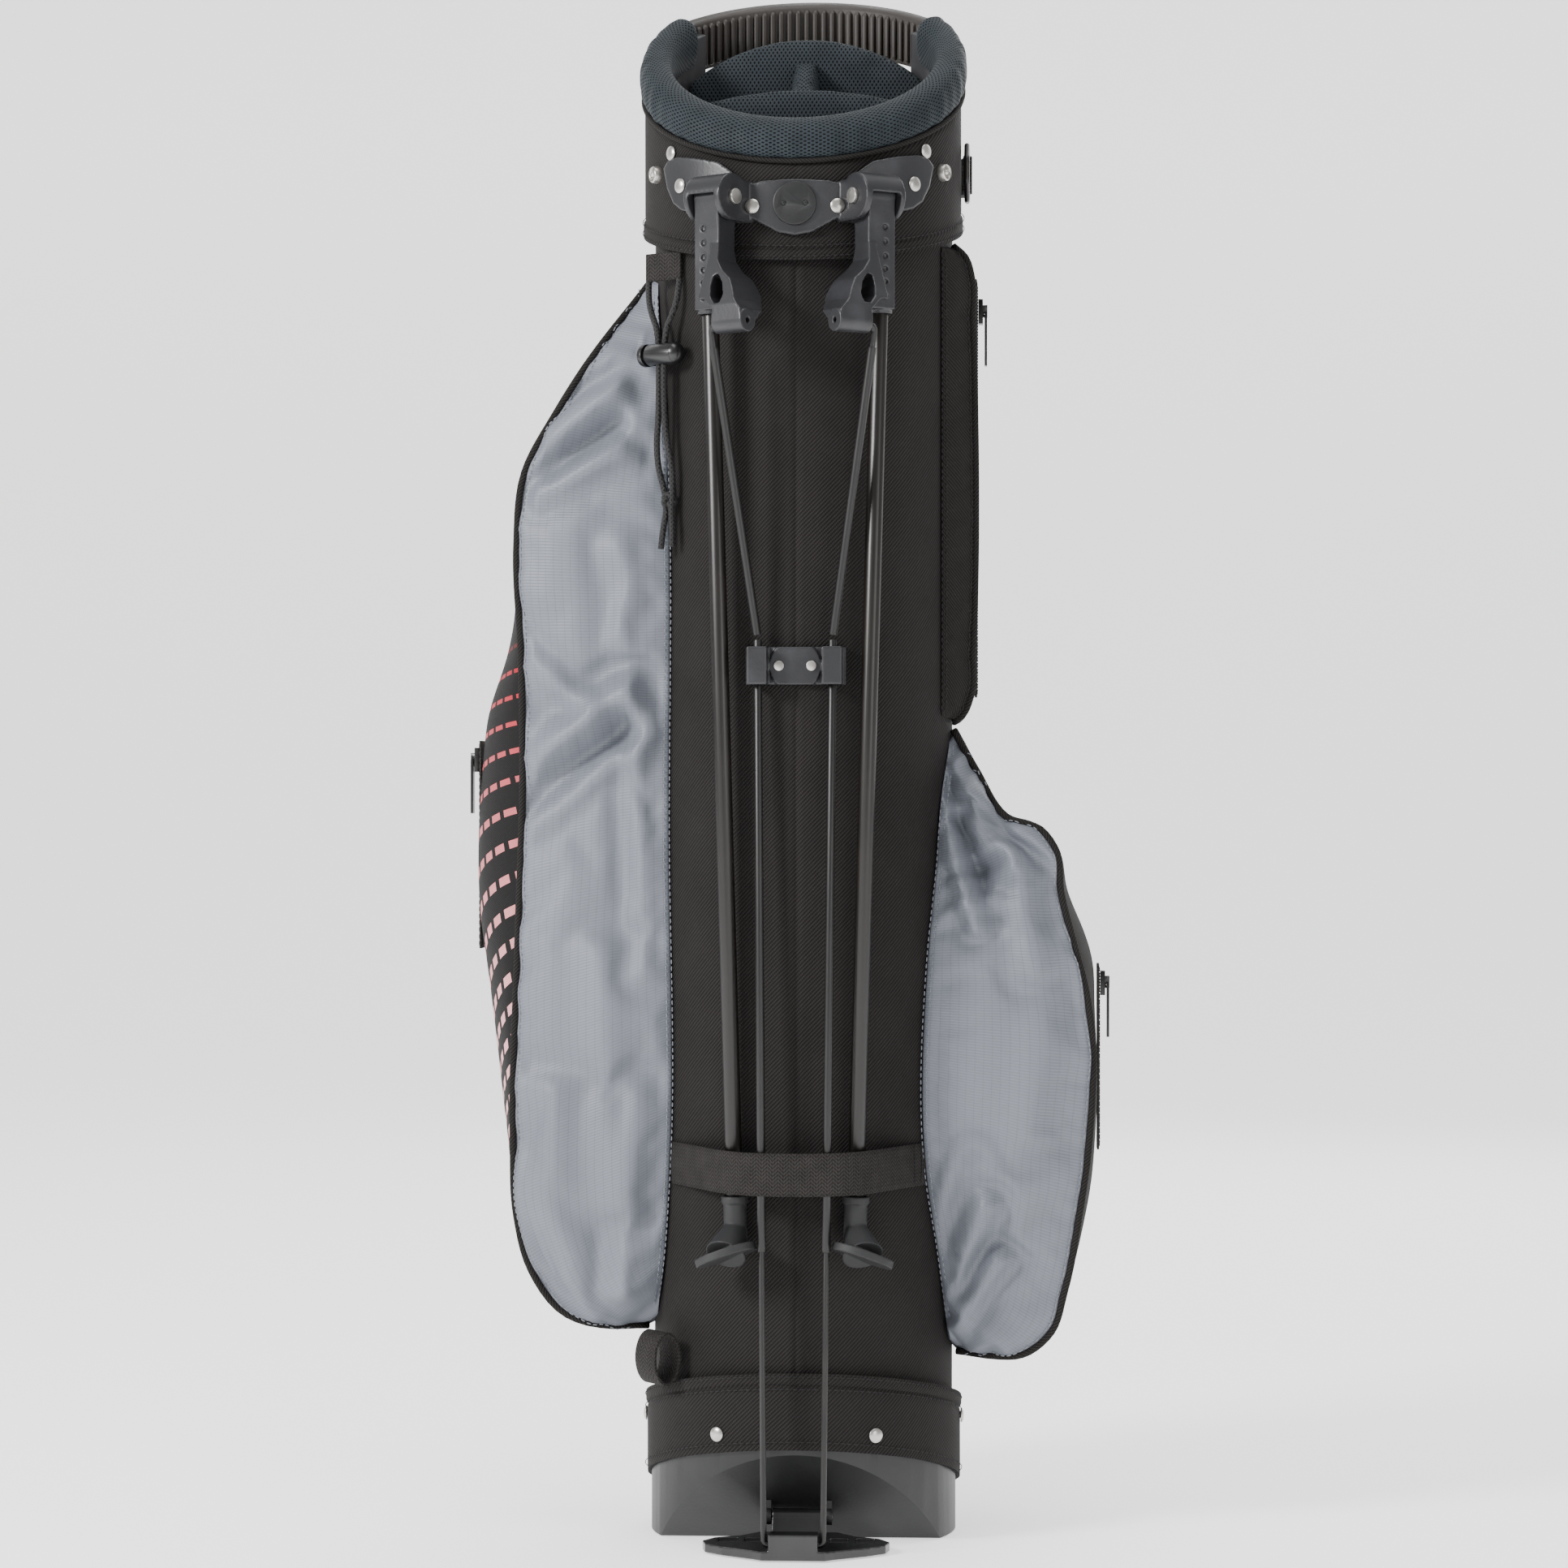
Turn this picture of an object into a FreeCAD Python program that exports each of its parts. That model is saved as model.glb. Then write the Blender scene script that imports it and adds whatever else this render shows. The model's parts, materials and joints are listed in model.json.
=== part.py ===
import FreeCAD, Part
import math
import os
import re

import Sketcher

# Golf stand bag. The origin is on the tube's axis at the ground, +Z up; the legs stand on the -Y side.
# Lengths are millimetres and angles are degrees.
SIZES = {
    # round body
    "tube_radius": 85, "tube_wall": 3, "tube_top": 765, "tube_slant": 24.2,
    "collar_radius": "=tube_radius + 6", "collar_low": "=tube_top - 24.5", "collar_low_slant": 16.1,
    "joint_level": "=tube_top + 54.6", "joint_slant": 29.6, "roll_height": 29, "roll_thick": 20,
    "roll_end_angle": 126, "cuff_inner": "=tube_radius - 7", "cuff_bottom": "=tube_top - 53",
    "cuff_top_drop": 13,
    "finger_gap_angle": 50, "finger_gap_level": "=tube_top + 61", "fit_gap": 0.2,
    # handle and dividers
    "handle_thick": 9, "handle_angle": 53, "handle_low": "=tube_top + 50.5", "handle_high": "=tube_top + 80",
    "handle_slant": 26.1,
    "bar_thick": 13, "front_bar_y": -9, "front_bar_top": "=tube_top + 58", "front_bar_arc": 220,
    "back_bar_y": "=tube_radius - 47", "back_bar_top": "=tube_top + 95", "back_bar_arc": 108,
    "bar_low": "=tube_top - 23",
    "spine_thick": 14, "spine_front_top": "=tube_top + 57", "spine_back_top": "=tube_top + 81",
    "panel_thick": 1.6, "panel_low": 60,
    # base
    "cup_radius": "=tube_radius + 2", "cup_wall": 1.8, "cup_top": 70, "cup_slant": -14.6, "cup_floor": 9,
    "floor_thick": 3,
    "ramp_angle": -47, "ramp_level": -39.3, "ramp_wall": 3, "rim_width": 9, "hub_radius": 12,
    "band_thick": 2.8, "band_low": 30, "band_high": 76, "band_slant": -16.7, "pad_thick": 4,
    "base_rivet_level": 64, "base_rivet_angle": 29.3, "stay_radius": 2.5, "stay_place": "=tube_radius - 9",
    # leg bracket
    "bracket_thick": 3.3, "wing_half": 75.8, "wing_top": "=tube_top + 10.3", "wing_low": "=tube_top - 23",
    "shield_half": 26.5,
    "shield_top": "=tube_top - 6.4", "shield_low": "=tube_top - 37.7", "badge_radius": 12.1,
    "badge_level": "=tube_top - 20", "badge_thick": 1.4,
    "outer_rivet_angle": 43.7, "outer_rivet_level": "=tube_top - 6.3", "inner_rivet_angle": 14.4,
    "inner_rivet_level": "=tube_top - 21.2", "rivet_radius": 4.1, "shank_radius": 1.7,
    "snap_angle": 62, "snap_level": "=tube_top + 3.6", "snap_post": 3.2, "snap_length": 3,
    # leg hinges and legs, in each leg's own frame
    "splay": 36.87, "hinge_x": 43.8, "hinge_y": "=-tube_radius - 8.7", "hinge_z": "=tube_top - 17",
    "hinge_pin": 2.5,
    "hood_radius": 13, "cheek": 3, "head_radius": 8.5, "head_half": 8.8, "side_gap": 0.7, "inner_cheek": 4,
    "neck_length": 62, "boss_out": 16, "boss_drop": 71, "boss_radius": 6.4, "boss_bore": 5.2,
    "boss_start": 16, "boss_end": 37.5, "tube_side": -4.5, "socket_top": 40, "leg_radius": 4.75,
    "leg_wall": 1, "leg_end_side": 4.92, "leg_end_in": 11.44, "leg_end_drop": "=hinge_z - 175",
    "boot_radius": 6.4,
    # foot plate, rods and their clip
    "foot_hinge_y": "=-tube_radius + 27", "foot_hinge_z": 15.5, "foot_pin": 2, "barrel_radius": 4.3,
    "barrel_half": 14.5,
    "lug_radius": 5, "lug_thick": 4, "sole_low": 0.5, "sole_thick": 5, "plate_front": "=-tube_radius - 29",
    "wing_reach": 52, "block_half": 13.5, "block_high": 14, "rod_foot_x": 16.3,
    "rod_foot_y": "=-tube_radius - 22",
    "rod_foot_z": 8, "wire_radius": 1.7, "sleeve_radius": 2.4, "rod_x": 20.8, "rod_y": "=-tube_radius - 6",
    "flex_z": 506, "flex_gap": 1.5, "hook_drop": 1.6, "corner_side": 10.5, "hook_end": 31,
    "sleeve_low": 168, "clip_level": 490.3, "clip_height": 21, "clip_slot_x": 6.6, "clip_slot_y": 9.4,
    "clip_slot_lead": 1.5,
    # soft goods and trim
    "strap_width": 24, "strap_level": 212, "strap_thick": 1.5, "cord_radius": 1.75,
    "cloth_wall": 2.5, "zip_width": 20, "zip_thick": 1.6, "ring_wire": 1.6, "ring_x": "=tube_radius + 8.6",
    "ring_y": 14,
    "ring_low": "=tube_top - 5", "ring_high": "=tube_top + 26", "ring_reach": 22,
}

REACH = 420  # half size of the blocks that cut along a slanted plane
NODES = []

doc = FreeCAD.newDocument("golf_stand_bag")
Vector = FreeCAD.Vector
UP, ALONG_X, ALONG_Y = Vector(0, 0, 1), Vector(1, 0, 0), Vector(0, 1, 0)


def make_sheet():
    """Write every driving dimension to a spreadsheet cell with its alias."""
    sheet = doc.addObject("Spreadsheet::Sheet", "Sizes")
    for row, (name, size) in enumerate(SIZES.items(), start=1):
        sheet.set(f"A{row}", name)
        sheet.set(f"B{row}", str(size))
        sheet.setAlias(f"B{row}", name)
    doc.recompute()
    return sheet


SHEET = make_sheet()


def formula(text):
    """Turn an expression on size names into one that reads them from the spreadsheet."""
    return re.sub(r"[a-z_]+[a-z]", lambda m: "Sizes." + m[0] if m[0] in SIZES else m[0], str(text))


def value(text):
    """The present number of an expression on size names."""
    return float(SHEET.evalExpression(formula(text)))


def bind(thing, **properties):
    """Tie properties to expressions; x, y, z and turn stand for the parts of the Placement."""
    paths = {"x": "Placement.Base.x", "y": "Placement.Base.y", "z": "Placement.Base.z",
             "turn": "Placement.Rotation.Angle"}
    for name, text in properties.items():
        thing.setExpression(paths.get(name, name), formula(text))


def aim(thing, direction):
    """Turn a piece's own +Z to a direction."""
    thing.Placement = FreeCAD.Placement(Vector(), FreeCAD.Rotation(UP, direction))


def make_box(low, size):
    box = doc.addObject("Part::Box", "box")
    bind(box, Length=size[0], Width=size[1], Height=size[2], x=low[0], y=low[1], z=low[2])
    return box


def make_cylinder(radius, height, base=("0", "0", "0"), direction=UP):
    cylinder = doc.addObject("Part::Cylinder", "cylinder")
    aim(cylinder, direction)
    bind(cylinder, Radius=radius, Height=height, x=base[0], y=base[1], z=base[2])
    return cylinder


def make_bar(start, end, radius):
    """A round bar from one point to another."""
    bar = doc.addObject("Part::Cylinder", "bar")
    bar.Placement = FreeCAD.Placement(start, FreeCAD.Rotation(UP, end - start))
    bar.Height = (end - start).Length
    bind(bar, Radius=radius)
    return bar


def fuse(*pieces):
    joined = doc.addObject("Part::MultiFuse", "fuse")
    joined.Shapes = list(pieces)
    joined.Refine = True
    return joined


def common(*pieces):
    shared = doc.addObject("Part::MultiCommon", "common")
    shared.Shapes = list(pieces)
    return shared


def cut(base, *tools):
    result = doc.addObject("Part::Cut", "cut")
    result.Base = base
    result.Tool = tools[0] if len(tools) == 1 else fuse(*tools)
    result.Refine = True
    return result


def group(*pieces):
    """Separate solids that share one node."""
    compound = doc.addObject("Part::Compound", "group")
    compound.Links = list(pieces)
    return compound


def mirror(piece):
    """The right-hand copy of a left-hand piece."""
    copy = doc.addObject("Part::Mirroring", "mirror")
    copy.Source = piece
    copy.Normal = ALONG_X
    return copy


def feature(shape):
    piece = doc.addObject("Part::Feature", "feature")
    piece.Shape = shape
    return piece


def node(name, piece):
    piece.Label = name
    NODES.append(piece)
    return piece


def half_space(level, slant, above=True):
    """A large block over or under the plane that crosses the axis at a level and rises along +Y."""
    block = doc.addObject("Part::Box", "half_space")
    block.Length = block.Width = block.Height = 2 * REACH
    block.Placement = FreeCAD.Placement(Vector(-REACH, 0, 0), FreeCAD.Rotation(ALONG_X, 1))
    drop = 0 if above else 2 * REACH
    bind(block, turn=slant, y=f"{drop} * sin({slant}) - {REACH} * cos({slant})",
         z=f"{level} - {drop} * cos({slant}) - {REACH} * sin({slant})")
    return block


def make_ring(outer, inner, low, high):
    """A ring between two slanted planes, each a (level, slant) pair."""
    base = f"{low[0]} - 80"
    height = f"{high[0]} - ({low[0]}) + 160"
    wall = cut(make_cylinder(outer, height, ("0", "0", base)), make_cylinder(inner, height, ("0", "0", base)))
    return cut(wall, half_space(*low, above=False), half_space(*high))


def make_prism(plane, corners, start, length):
    """Extrude a closed outline of size expressions from one coordinate plane, along its normal."""
    turns = {"XY": FreeCAD.Rotation(), "XZ": FreeCAD.Rotation(ALONG_X, 90),
             "YZ": FreeCAD.Rotation(Vector(1, 1, 1), 120)}
    normals = {"XY": ("z", ""), "XZ": ("y", "-"), "YZ": ("x", "")}
    sketch = doc.addObject("Sketcher::SketchObject", "outline")
    sketch.Placement = FreeCAD.Placement(Vector(), turns[plane])
    draw_outline(sketch, corners)
    side, sign = normals[plane]
    bind(sketch, **{side: f"{sign}({start})"})
    prism = doc.addObject("Part::Extrusion", "prism")
    prism.Base = sketch
    prism.DirMode = "Normal"
    prism.Solid = True
    bind(prism, LengthFwd=length)
    return prism


def draw_outline(sketch, corners):
    """Draw straight edges through corners whose places follow their expressions."""
    points = [Vector(value(across), value(along), 0) for across, along in corners]
    for start, end in zip(points, points[1:] + points[:1]):
        sketch.addGeometry(Part.LineSegment(start, end))
    for edge in range(len(points)):
        following = (edge + 1) % len(points)
        sketch.addConstraint(Sketcher.Constraint("Coincident", edge, 2, following, 1))
    for edge, (corner, point) in enumerate(zip(corners, points)):
        across = sketch.addConstraint(Sketcher.Constraint("DistanceX", -1, 1, edge, 1, point.x))
        along = sketch.addConstraint(Sketcher.Constraint("DistanceY", -1, 1, edge, 1, point.y))
        sketch.setExpression(f"Constraints[{across}]", formula(corner[0]))
        sketch.setExpression(f"Constraints[{along}]", formula(corner[1]))


def make_body(name):
    return doc.addObject("PartDesign::Body", name)


def body_sketch(body, plane, corners):
    sketch = body.newObject("Sketcher::SketchObject", "profile")
    origin_plane = next(f for f in body.Origin.OriginFeatures if f.Role == plane)
    sketch.AttachmentSupport = [(origin_plane, "")]
    sketch.MapMode = "FlatFace"
    draw_outline(sketch, corners)
    return sketch


def revolve(name, corners):
    """A turned body whose half profile is given as (radius, height) expressions on the XZ plane."""
    body = make_body(name)
    sketch = body_sketch(body, "XZ_Plane", corners)
    turned = body.newObject("PartDesign::Revolution", "turning")
    turned.Profile = sketch
    turned.ReferenceAxis = (sketch, ["V_Axis"])
    turned.Angle = 360
    return body


def pad(name, plane, corners, length):
    body = make_body(name)
    sketch = body_sketch(body, plane, corners)
    block = body.newObject("PartDesign::Pad", "pad")
    block.Profile = sketch
    bind(block, Length=length)
    return body


def on_front(radius, angle, level):
    """A point and an outward direction on the round body; the angle is from -Y towards -X."""
    turn = math.radians(value(angle))
    outward = Vector(-math.sin(turn), -math.cos(turn), 0)
    return outward * value(radius) + UP * value(level), outward


def ring_of(angles, radius, level, maker):
    """Copies of a small piece round the body, each made by maker(point, outward)."""
    return [maker(*on_front(radius, angle, level)) for angle in angles]


def rivet(head, shank_depth):
    """A maker of domed rivets that stand on a surface and reach a depth below it."""
    def build(point, outward):
        radius = value(head)
        dome = Part.makeCylinder(radius, 0.8, point, outward)
        crown = Part.makeCone(radius, radius * 0.55, 0.9, point + outward * 0.8, outward)
        shank = Part.makeCylinder(value("shank_radius"), value(shank_depth), point, outward * -1)
        return feature(dome.fuse(crown).fuse(shank).removeSplitter())
    return build


def holes(angles, radius, level, depth, gap=0.1):
    """Cylinders that clear the rivets' shanks."""
    makers = ring_of(angles, radius, level, lambda point, outward: (point, outward))
    size = f"shank_radius + {gap}"
    return [make_bar(point + outward * 3, point - outward * value(depth), size) for point, outward in makers]


def leg_place(piece, height="hinge_z"):
    """Put a piece that is modelled about the left leg's hinge in its place."""
    piece.Placement = FreeCAD.Placement(Vector(), FreeCAD.Rotation(UP, -1))
    bind(piece, x="-hinge_x", y="hinge_y", z=height)
    piece.Placement.Rotation = FreeCAD.Rotation(UP, -value("splay"))
    return piece


def leg_point(side, inward, drop):
    """A point given in the left leg's frame, in the frame of the bag."""
    turn = FreeCAD.Rotation(UP, -value("splay"))
    hinge = Vector(-value("hinge_x"), value("hinge_y"), value("hinge_z"))
    return hinge + turn.multVec(Vector(side, inward, -drop))


BASE_RIVETS = ["base_rivet_angle", "-base_rivet_angle", "90", "-90", "150", "-150"]
OUTER_RIVETS = ["outer_rivet_angle", "-outer_rivet_angle"]
INNER_RIVETS = ["inner_rivet_angle", "-inner_rivet_angle"]
COLLAR_RIVETS = ["51.5", "-51.5", "125", "-125", "155", "-155"]
SNAPS = ["snap_angle", "-snap_angle"]
RAMP = ("ramp_level", "ramp_angle")
RAMP_INSIDE = ("ramp_level + ramp_wall / cos(ramp_angle)", "ramp_angle")
RIM_TOP = ("joint_level + roll_height", "joint_slant")
CUFF_TOP = ("joint_level + roll_height - cuff_top_drop", "joint_slant")


def build_tube():
    wall = make_ring("tube_radius", "tube_radius - tube_wall", ("-100", "0"), ("tube_top", "tube_slant"))
    floor = "cup_floor + floor_thick + fit_gap"
    ramp = ("ramp_level + (ramp_wall + fit_gap) / cos(ramp_angle)", "ramp_angle")
    cuts = [half_space(floor, "0", above=False), half_space(*ramp, above=False)]
    node("body_tube", cut(wall, *cuts, *holes(BASE_RIVETS, "tube_radius", "base_rivet_level", "6")))


def build_base():
    tall = "cup_top + 60"
    outside = make_cylinder("cup_radius", tall)
    shell = cut(outside, half_space("cup_top", "cup_slant"), half_space(*RAMP, above=False))
    cavity = make_cylinder("cup_radius - cup_wall", tall, ("0", "0", "cup_floor + floor_thick"))
    cavity = cut(cavity, half_space(*RAMP_INSIDE, above=False))
    recess = make_cylinder("cup_radius - rim_width", "cup_floor + 5", ("0", "0", "-5"))
    recess = cut(recess, half_space(*RAMP_INSIDE, above=False), make_cylinder("hub_radius", "200", ("0", "0",
            "-9")),
                 *(make_rib(angle) for angle in range(0, 180, 60)))
    lugs = [make_lug(side) for side in (-1, 1)]
    cup = cut(fuse(shell, *lugs), cavity, recess,
              make_cylinder("foot_pin + 0.1", "80", ("-40", "foot_hinge_y", "foot_hinge_z"), ALONG_X),
              *holes(BASE_RIVETS, "cup_radius", "base_rivet_level", "6"))
    node("base_cup", cup)
    band = make_ring("cup_radius + fit_gap + band_thick", "cup_radius + fit_gap", ("band_low", "band_slant"),
                     ("band_high", "cup_slant"))
    node("base_band", cut(band, *holes(BASE_RIVETS, "cup_radius", "base_rivet_level", "6")))
    pad_low = "cup_floor + floor_thick + fit_gap"
    foam = make_cylinder("tube_radius - tube_wall - fit_gap", "pad_thick", ("0", "0", pad_low))
    ramp = ("ramp_level + (ramp_wall + 2 * fit_gap) / cos(ramp_angle)", "ramp_angle")
    node("floor_pad", cut(foam, half_space(*ramp, above=False)))
    stay_low = f"{pad_low} + pad_thick + fit_gap"
    stays = [make_cylinder("stay_radius", f"cuff_bottom - 2 - ({stay_low})", (f"{side} * stay_place", "22",
            stay_low))
             for side in (-1, 1)]
    node("stay_rods", group(*stays))
    pin = make_cylinder("foot_pin", "2 * (barrel_half + 0.5 + lug_thick)",
                        ("-barrel_half - 0.5 - lug_thick", "foot_hinge_y", "foot_hinge_z"), ALONG_X)
    node("foot_hinge_pin", pin)


def make_rib(angle):
    rib = make_box(("0", "0", "-9"), ("2 * tube_radius", "3", "200"))
    turn = FreeCAD.Rotation(UP, angle)
    rib.Placement.Rotation = turn
    middle = turn.multVec(Vector(-value("tube_radius"), -1.5, 0))
    bind(rib, x=str(middle.x), y=str(middle.y))
    rib.Placement.Rotation = turn
    return rib


def make_lug(side):
    low = "barrel_half + 0.5" if side > 0 else "-barrel_half - 0.5 - lug_thick"
    eye = make_cylinder("lug_radius", "lug_thick", (low, "foot_hinge_y", "foot_hinge_z"), ALONG_X)
    web = make_box((low, "foot_hinge_y - 2", "foot_hinge_z"), ("lug_thick", "10", "9"))
    return fuse(eye, web)


def build_top():
    tube_edge = ("tube_top", "tube_slant")
    above_tube = ("tube_top + 0.3", "tube_slant")
    skirt = make_ring("tube_radius - tube_wall - fit_gap", "cuff_inner", ("cuff_bottom", "0"), tube_edge)
    upper = make_ring("tube_radius", "cuff_inner", above_tube, CUFF_TOP)
    lip = make_ring("tube_radius - tube_wall - fit_gap", "cuff_inner", ("tube_top - 1", "tube_slant"),
                    ("tube_top + 2", "tube_slant"))
    gap = sector("finger_gap_angle", "cuff_inner - 4", "tube_radius + 4", "finger_gap_level", "100",
                 back=True)
    node("cuff_ring", cut(fuse(skirt, upper, lip), gap))
    cover = make_ring("collar_radius", "tube_radius + fit_gap", ("collar_low", "collar_low_slant"),
                      ("joint_level - fit_gap", "joint_slant"))
    rivet_holes = (holes(OUTER_RIVETS, "collar_radius", "outer_rivet_level", "8")
                   + holes(INNER_RIVETS, "collar_radius", "inner_rivet_level", "8")
                   + holes(COLLAR_RIVETS, "collar_radius", "snap_level + 10", "4")
                   + holes(SNAPS, "collar_radius", "snap_level", "4"))
    notch = sector("handle_angle + 0.5", "cuff_inner - 4", "collar_radius + 4", "finger_gap_level", "100",
                   back=True)
    node("collar_cover", cut(cover, notch, *rivet_holes))
    node("hood_snaps", group(*ring_of(SNAPS, "collar_radius", "snap_level", snap_stud)))
    roll = make_ring("tube_radius + 9", "tube_radius + 9 - roll_thick", ("joint_level", "joint_slant"),
                     RIM_TOP)
    inside = make_ring("tube_radius + fit_gap", "cuff_inner - fit_gap", ("joint_level - 40", "joint_slant"),
                       ("joint_level + roll_height - cuff_top_drop + fit_gap", "joint_slant"))
    opening = sector("180 - roll_end_angle", "1", "tube_radius + 30", "joint_level - 60", "300", back=True)
    node("rim_pad", cut(roll, inside, opening))


def snap_stud(point, outward):
    flange = Part.makeCylinder(5, 0.8, point, outward)
    post = Part.makeCylinder(value("snap_post"), value("snap_length"), point + outward * 0.8, outward)
    shank = Part.makeCylinder(value("shank_radius"), 3.5, point, outward * -1)
    return feature(flange.fuse(post).fuse(shank).removeSplitter())


def sector(half_angle, inner, outer, low, height, back=False):
    """A wedge of a ring about -Y, or about +Y at the back."""
    wedge = doc.addObject("Part::Cylinder", "sector")
    wedge.Placement = FreeCAD.Placement(Vector(), FreeCAD.Rotation(UP, 1))
    middle = 90 if back else -90
    bind(wedge, Radius=outer, Height=height, Angle=f"2 * ({half_angle})", z=low,
         turn=f"{middle} - ({half_angle})")
    hole = make_cylinder(inner, f"({height}) + 2", ("0", "0", f"({low}) - 1"))
    return cut(wedge, hole)


def build_handle():
    grip = make_ring("tube_radius + handle_thick", "tube_radius + 0.05", ("handle_low", "handle_slant"),
                     ("handle_high", "handle_slant"))
    keep = sector("handle_angle", "1", "tube_radius + 40", "handle_low - 100", "400", back=True)
    node("top_handle", common(grip, keep))


def make_divider(place, top, arc):
    """A domed bar across the cuff, whose ends follow the cuff's inside."""
    half = "cuff_inner + 5"
    slab = make_box((f"-({half})", f"{place} - bar_thick / 2", "bar_low"), (f"2 * ({half})", "bar_thick",
            "150"))
    dome = make_cylinder(arc, "400", ("0", "200", f"{top} - {arc}"), ALONG_Y * -1)
    return common(slab, dome, make_cylinder("cuff_inner - 0.1", "1000"))


def build_dividers():
    node("front_divider", make_divider("front_bar_y", "front_bar_top", "front_bar_arc"))
    node("back_divider", make_divider("back_bar_y", "back_bar_top", "back_bar_arc"))
    front = "front_bar_y + bar_thick / 2 + 0.1"
    back = "back_bar_y - bar_thick / 2 - 0.1"
    side = [(front, "bar_low"), (back, "bar_low"), (back, "spine_back_top"), (front, "spine_front_top")]
    node("spine_divider", make_prism("YZ", side, "-spine_thick / 2", "spine_thick"))
    tall = "bar_low - 0.2 - panel_low"
    cross = [make_box((f"-({half})", f"{place} - panel_thick / 2", "panel_low"),
                      (f"2 * ({half})", "panel_thick", tall))
             for place, half in (("front_bar_y", "cuff_inner - 2"), ("back_bar_y", "cuff_inner - 13"))]
    middle = make_box(("-panel_thick / 2", "front_bar_y + panel_thick", "panel_low"),
                      ("panel_thick", "back_bar_y - front_bar_y - 2 * panel_thick", tall))
    node("divider_panels", group(*cross, middle))


def bracket_outline():
    """The bracket seen from the front: a shield between two raised wings."""
    half = [("0", "shield_top"), ("shield_half - 8.6", "shield_top - 0.7"), ("shield_half",
            "shield_top - 2.6"),
            ("shield_half + 10.3", "wing_top - 10.3"), ("shield_half + 16.6", "wing_top - 5.6"),
            ("wing_half - 18.5", "wing_top - 1.9"), ("wing_half - 8.2", "wing_top"),
            ("wing_half - 2.5", "wing_top - 1.4"), ("wing_half", "wing_top - 5"), ("wing_half - 2.3",
                    "wing_low + 16.8"),
            ("wing_half - 6", "wing_low + 8"), ("wing_half - 11.1", "wing_low + 3.1"), ("wing_half - 16.3",
                    "wing_low + 1.3"),
            ("shield_half + 4.9", "wing_low - 0.5"), ("shield_half - 8.6", "shield_low + 6.4"),
            ("shield_half - 17", "shield_low + 1.8"), ("0", "shield_low")]
    left = [(f"-({across})", along) for across, along in reversed(half[1:-1])]
    return half + left


def make_hood():
    """The hooded fork that holds a leg's hinge, about the hinge's own axis."""
    inside = "head_half + side_gap"
    width = f"2 * ({inside}) + cheek + inner_cheek"
    start = f"-({inside}) - cheek"
    shell = fuse(make_cylinder("hood_radius", width, (start, "0", "0"), ALONG_X),
                 make_box((start, "0", "-hood_radius"), (width, "20", "2 * hood_radius - 3")))
    room = [make_cylinder("head_radius + 1.3", f"2 * ({inside})", (f"-({inside})", "0", "0"), ALONG_X),
            make_box((f"-({inside})", "-hood_radius - 4", "-hood_radius - 4"),
                     (f"2 * ({inside})", "hood_radius + 13.5", "hood_radius + 5.5"))]
    bore = make_cylinder("hinge_pin + 0.1", "80", ("-40", "0", "0"), ALONG_X)
    return cut(shell, *room, bore)


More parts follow.
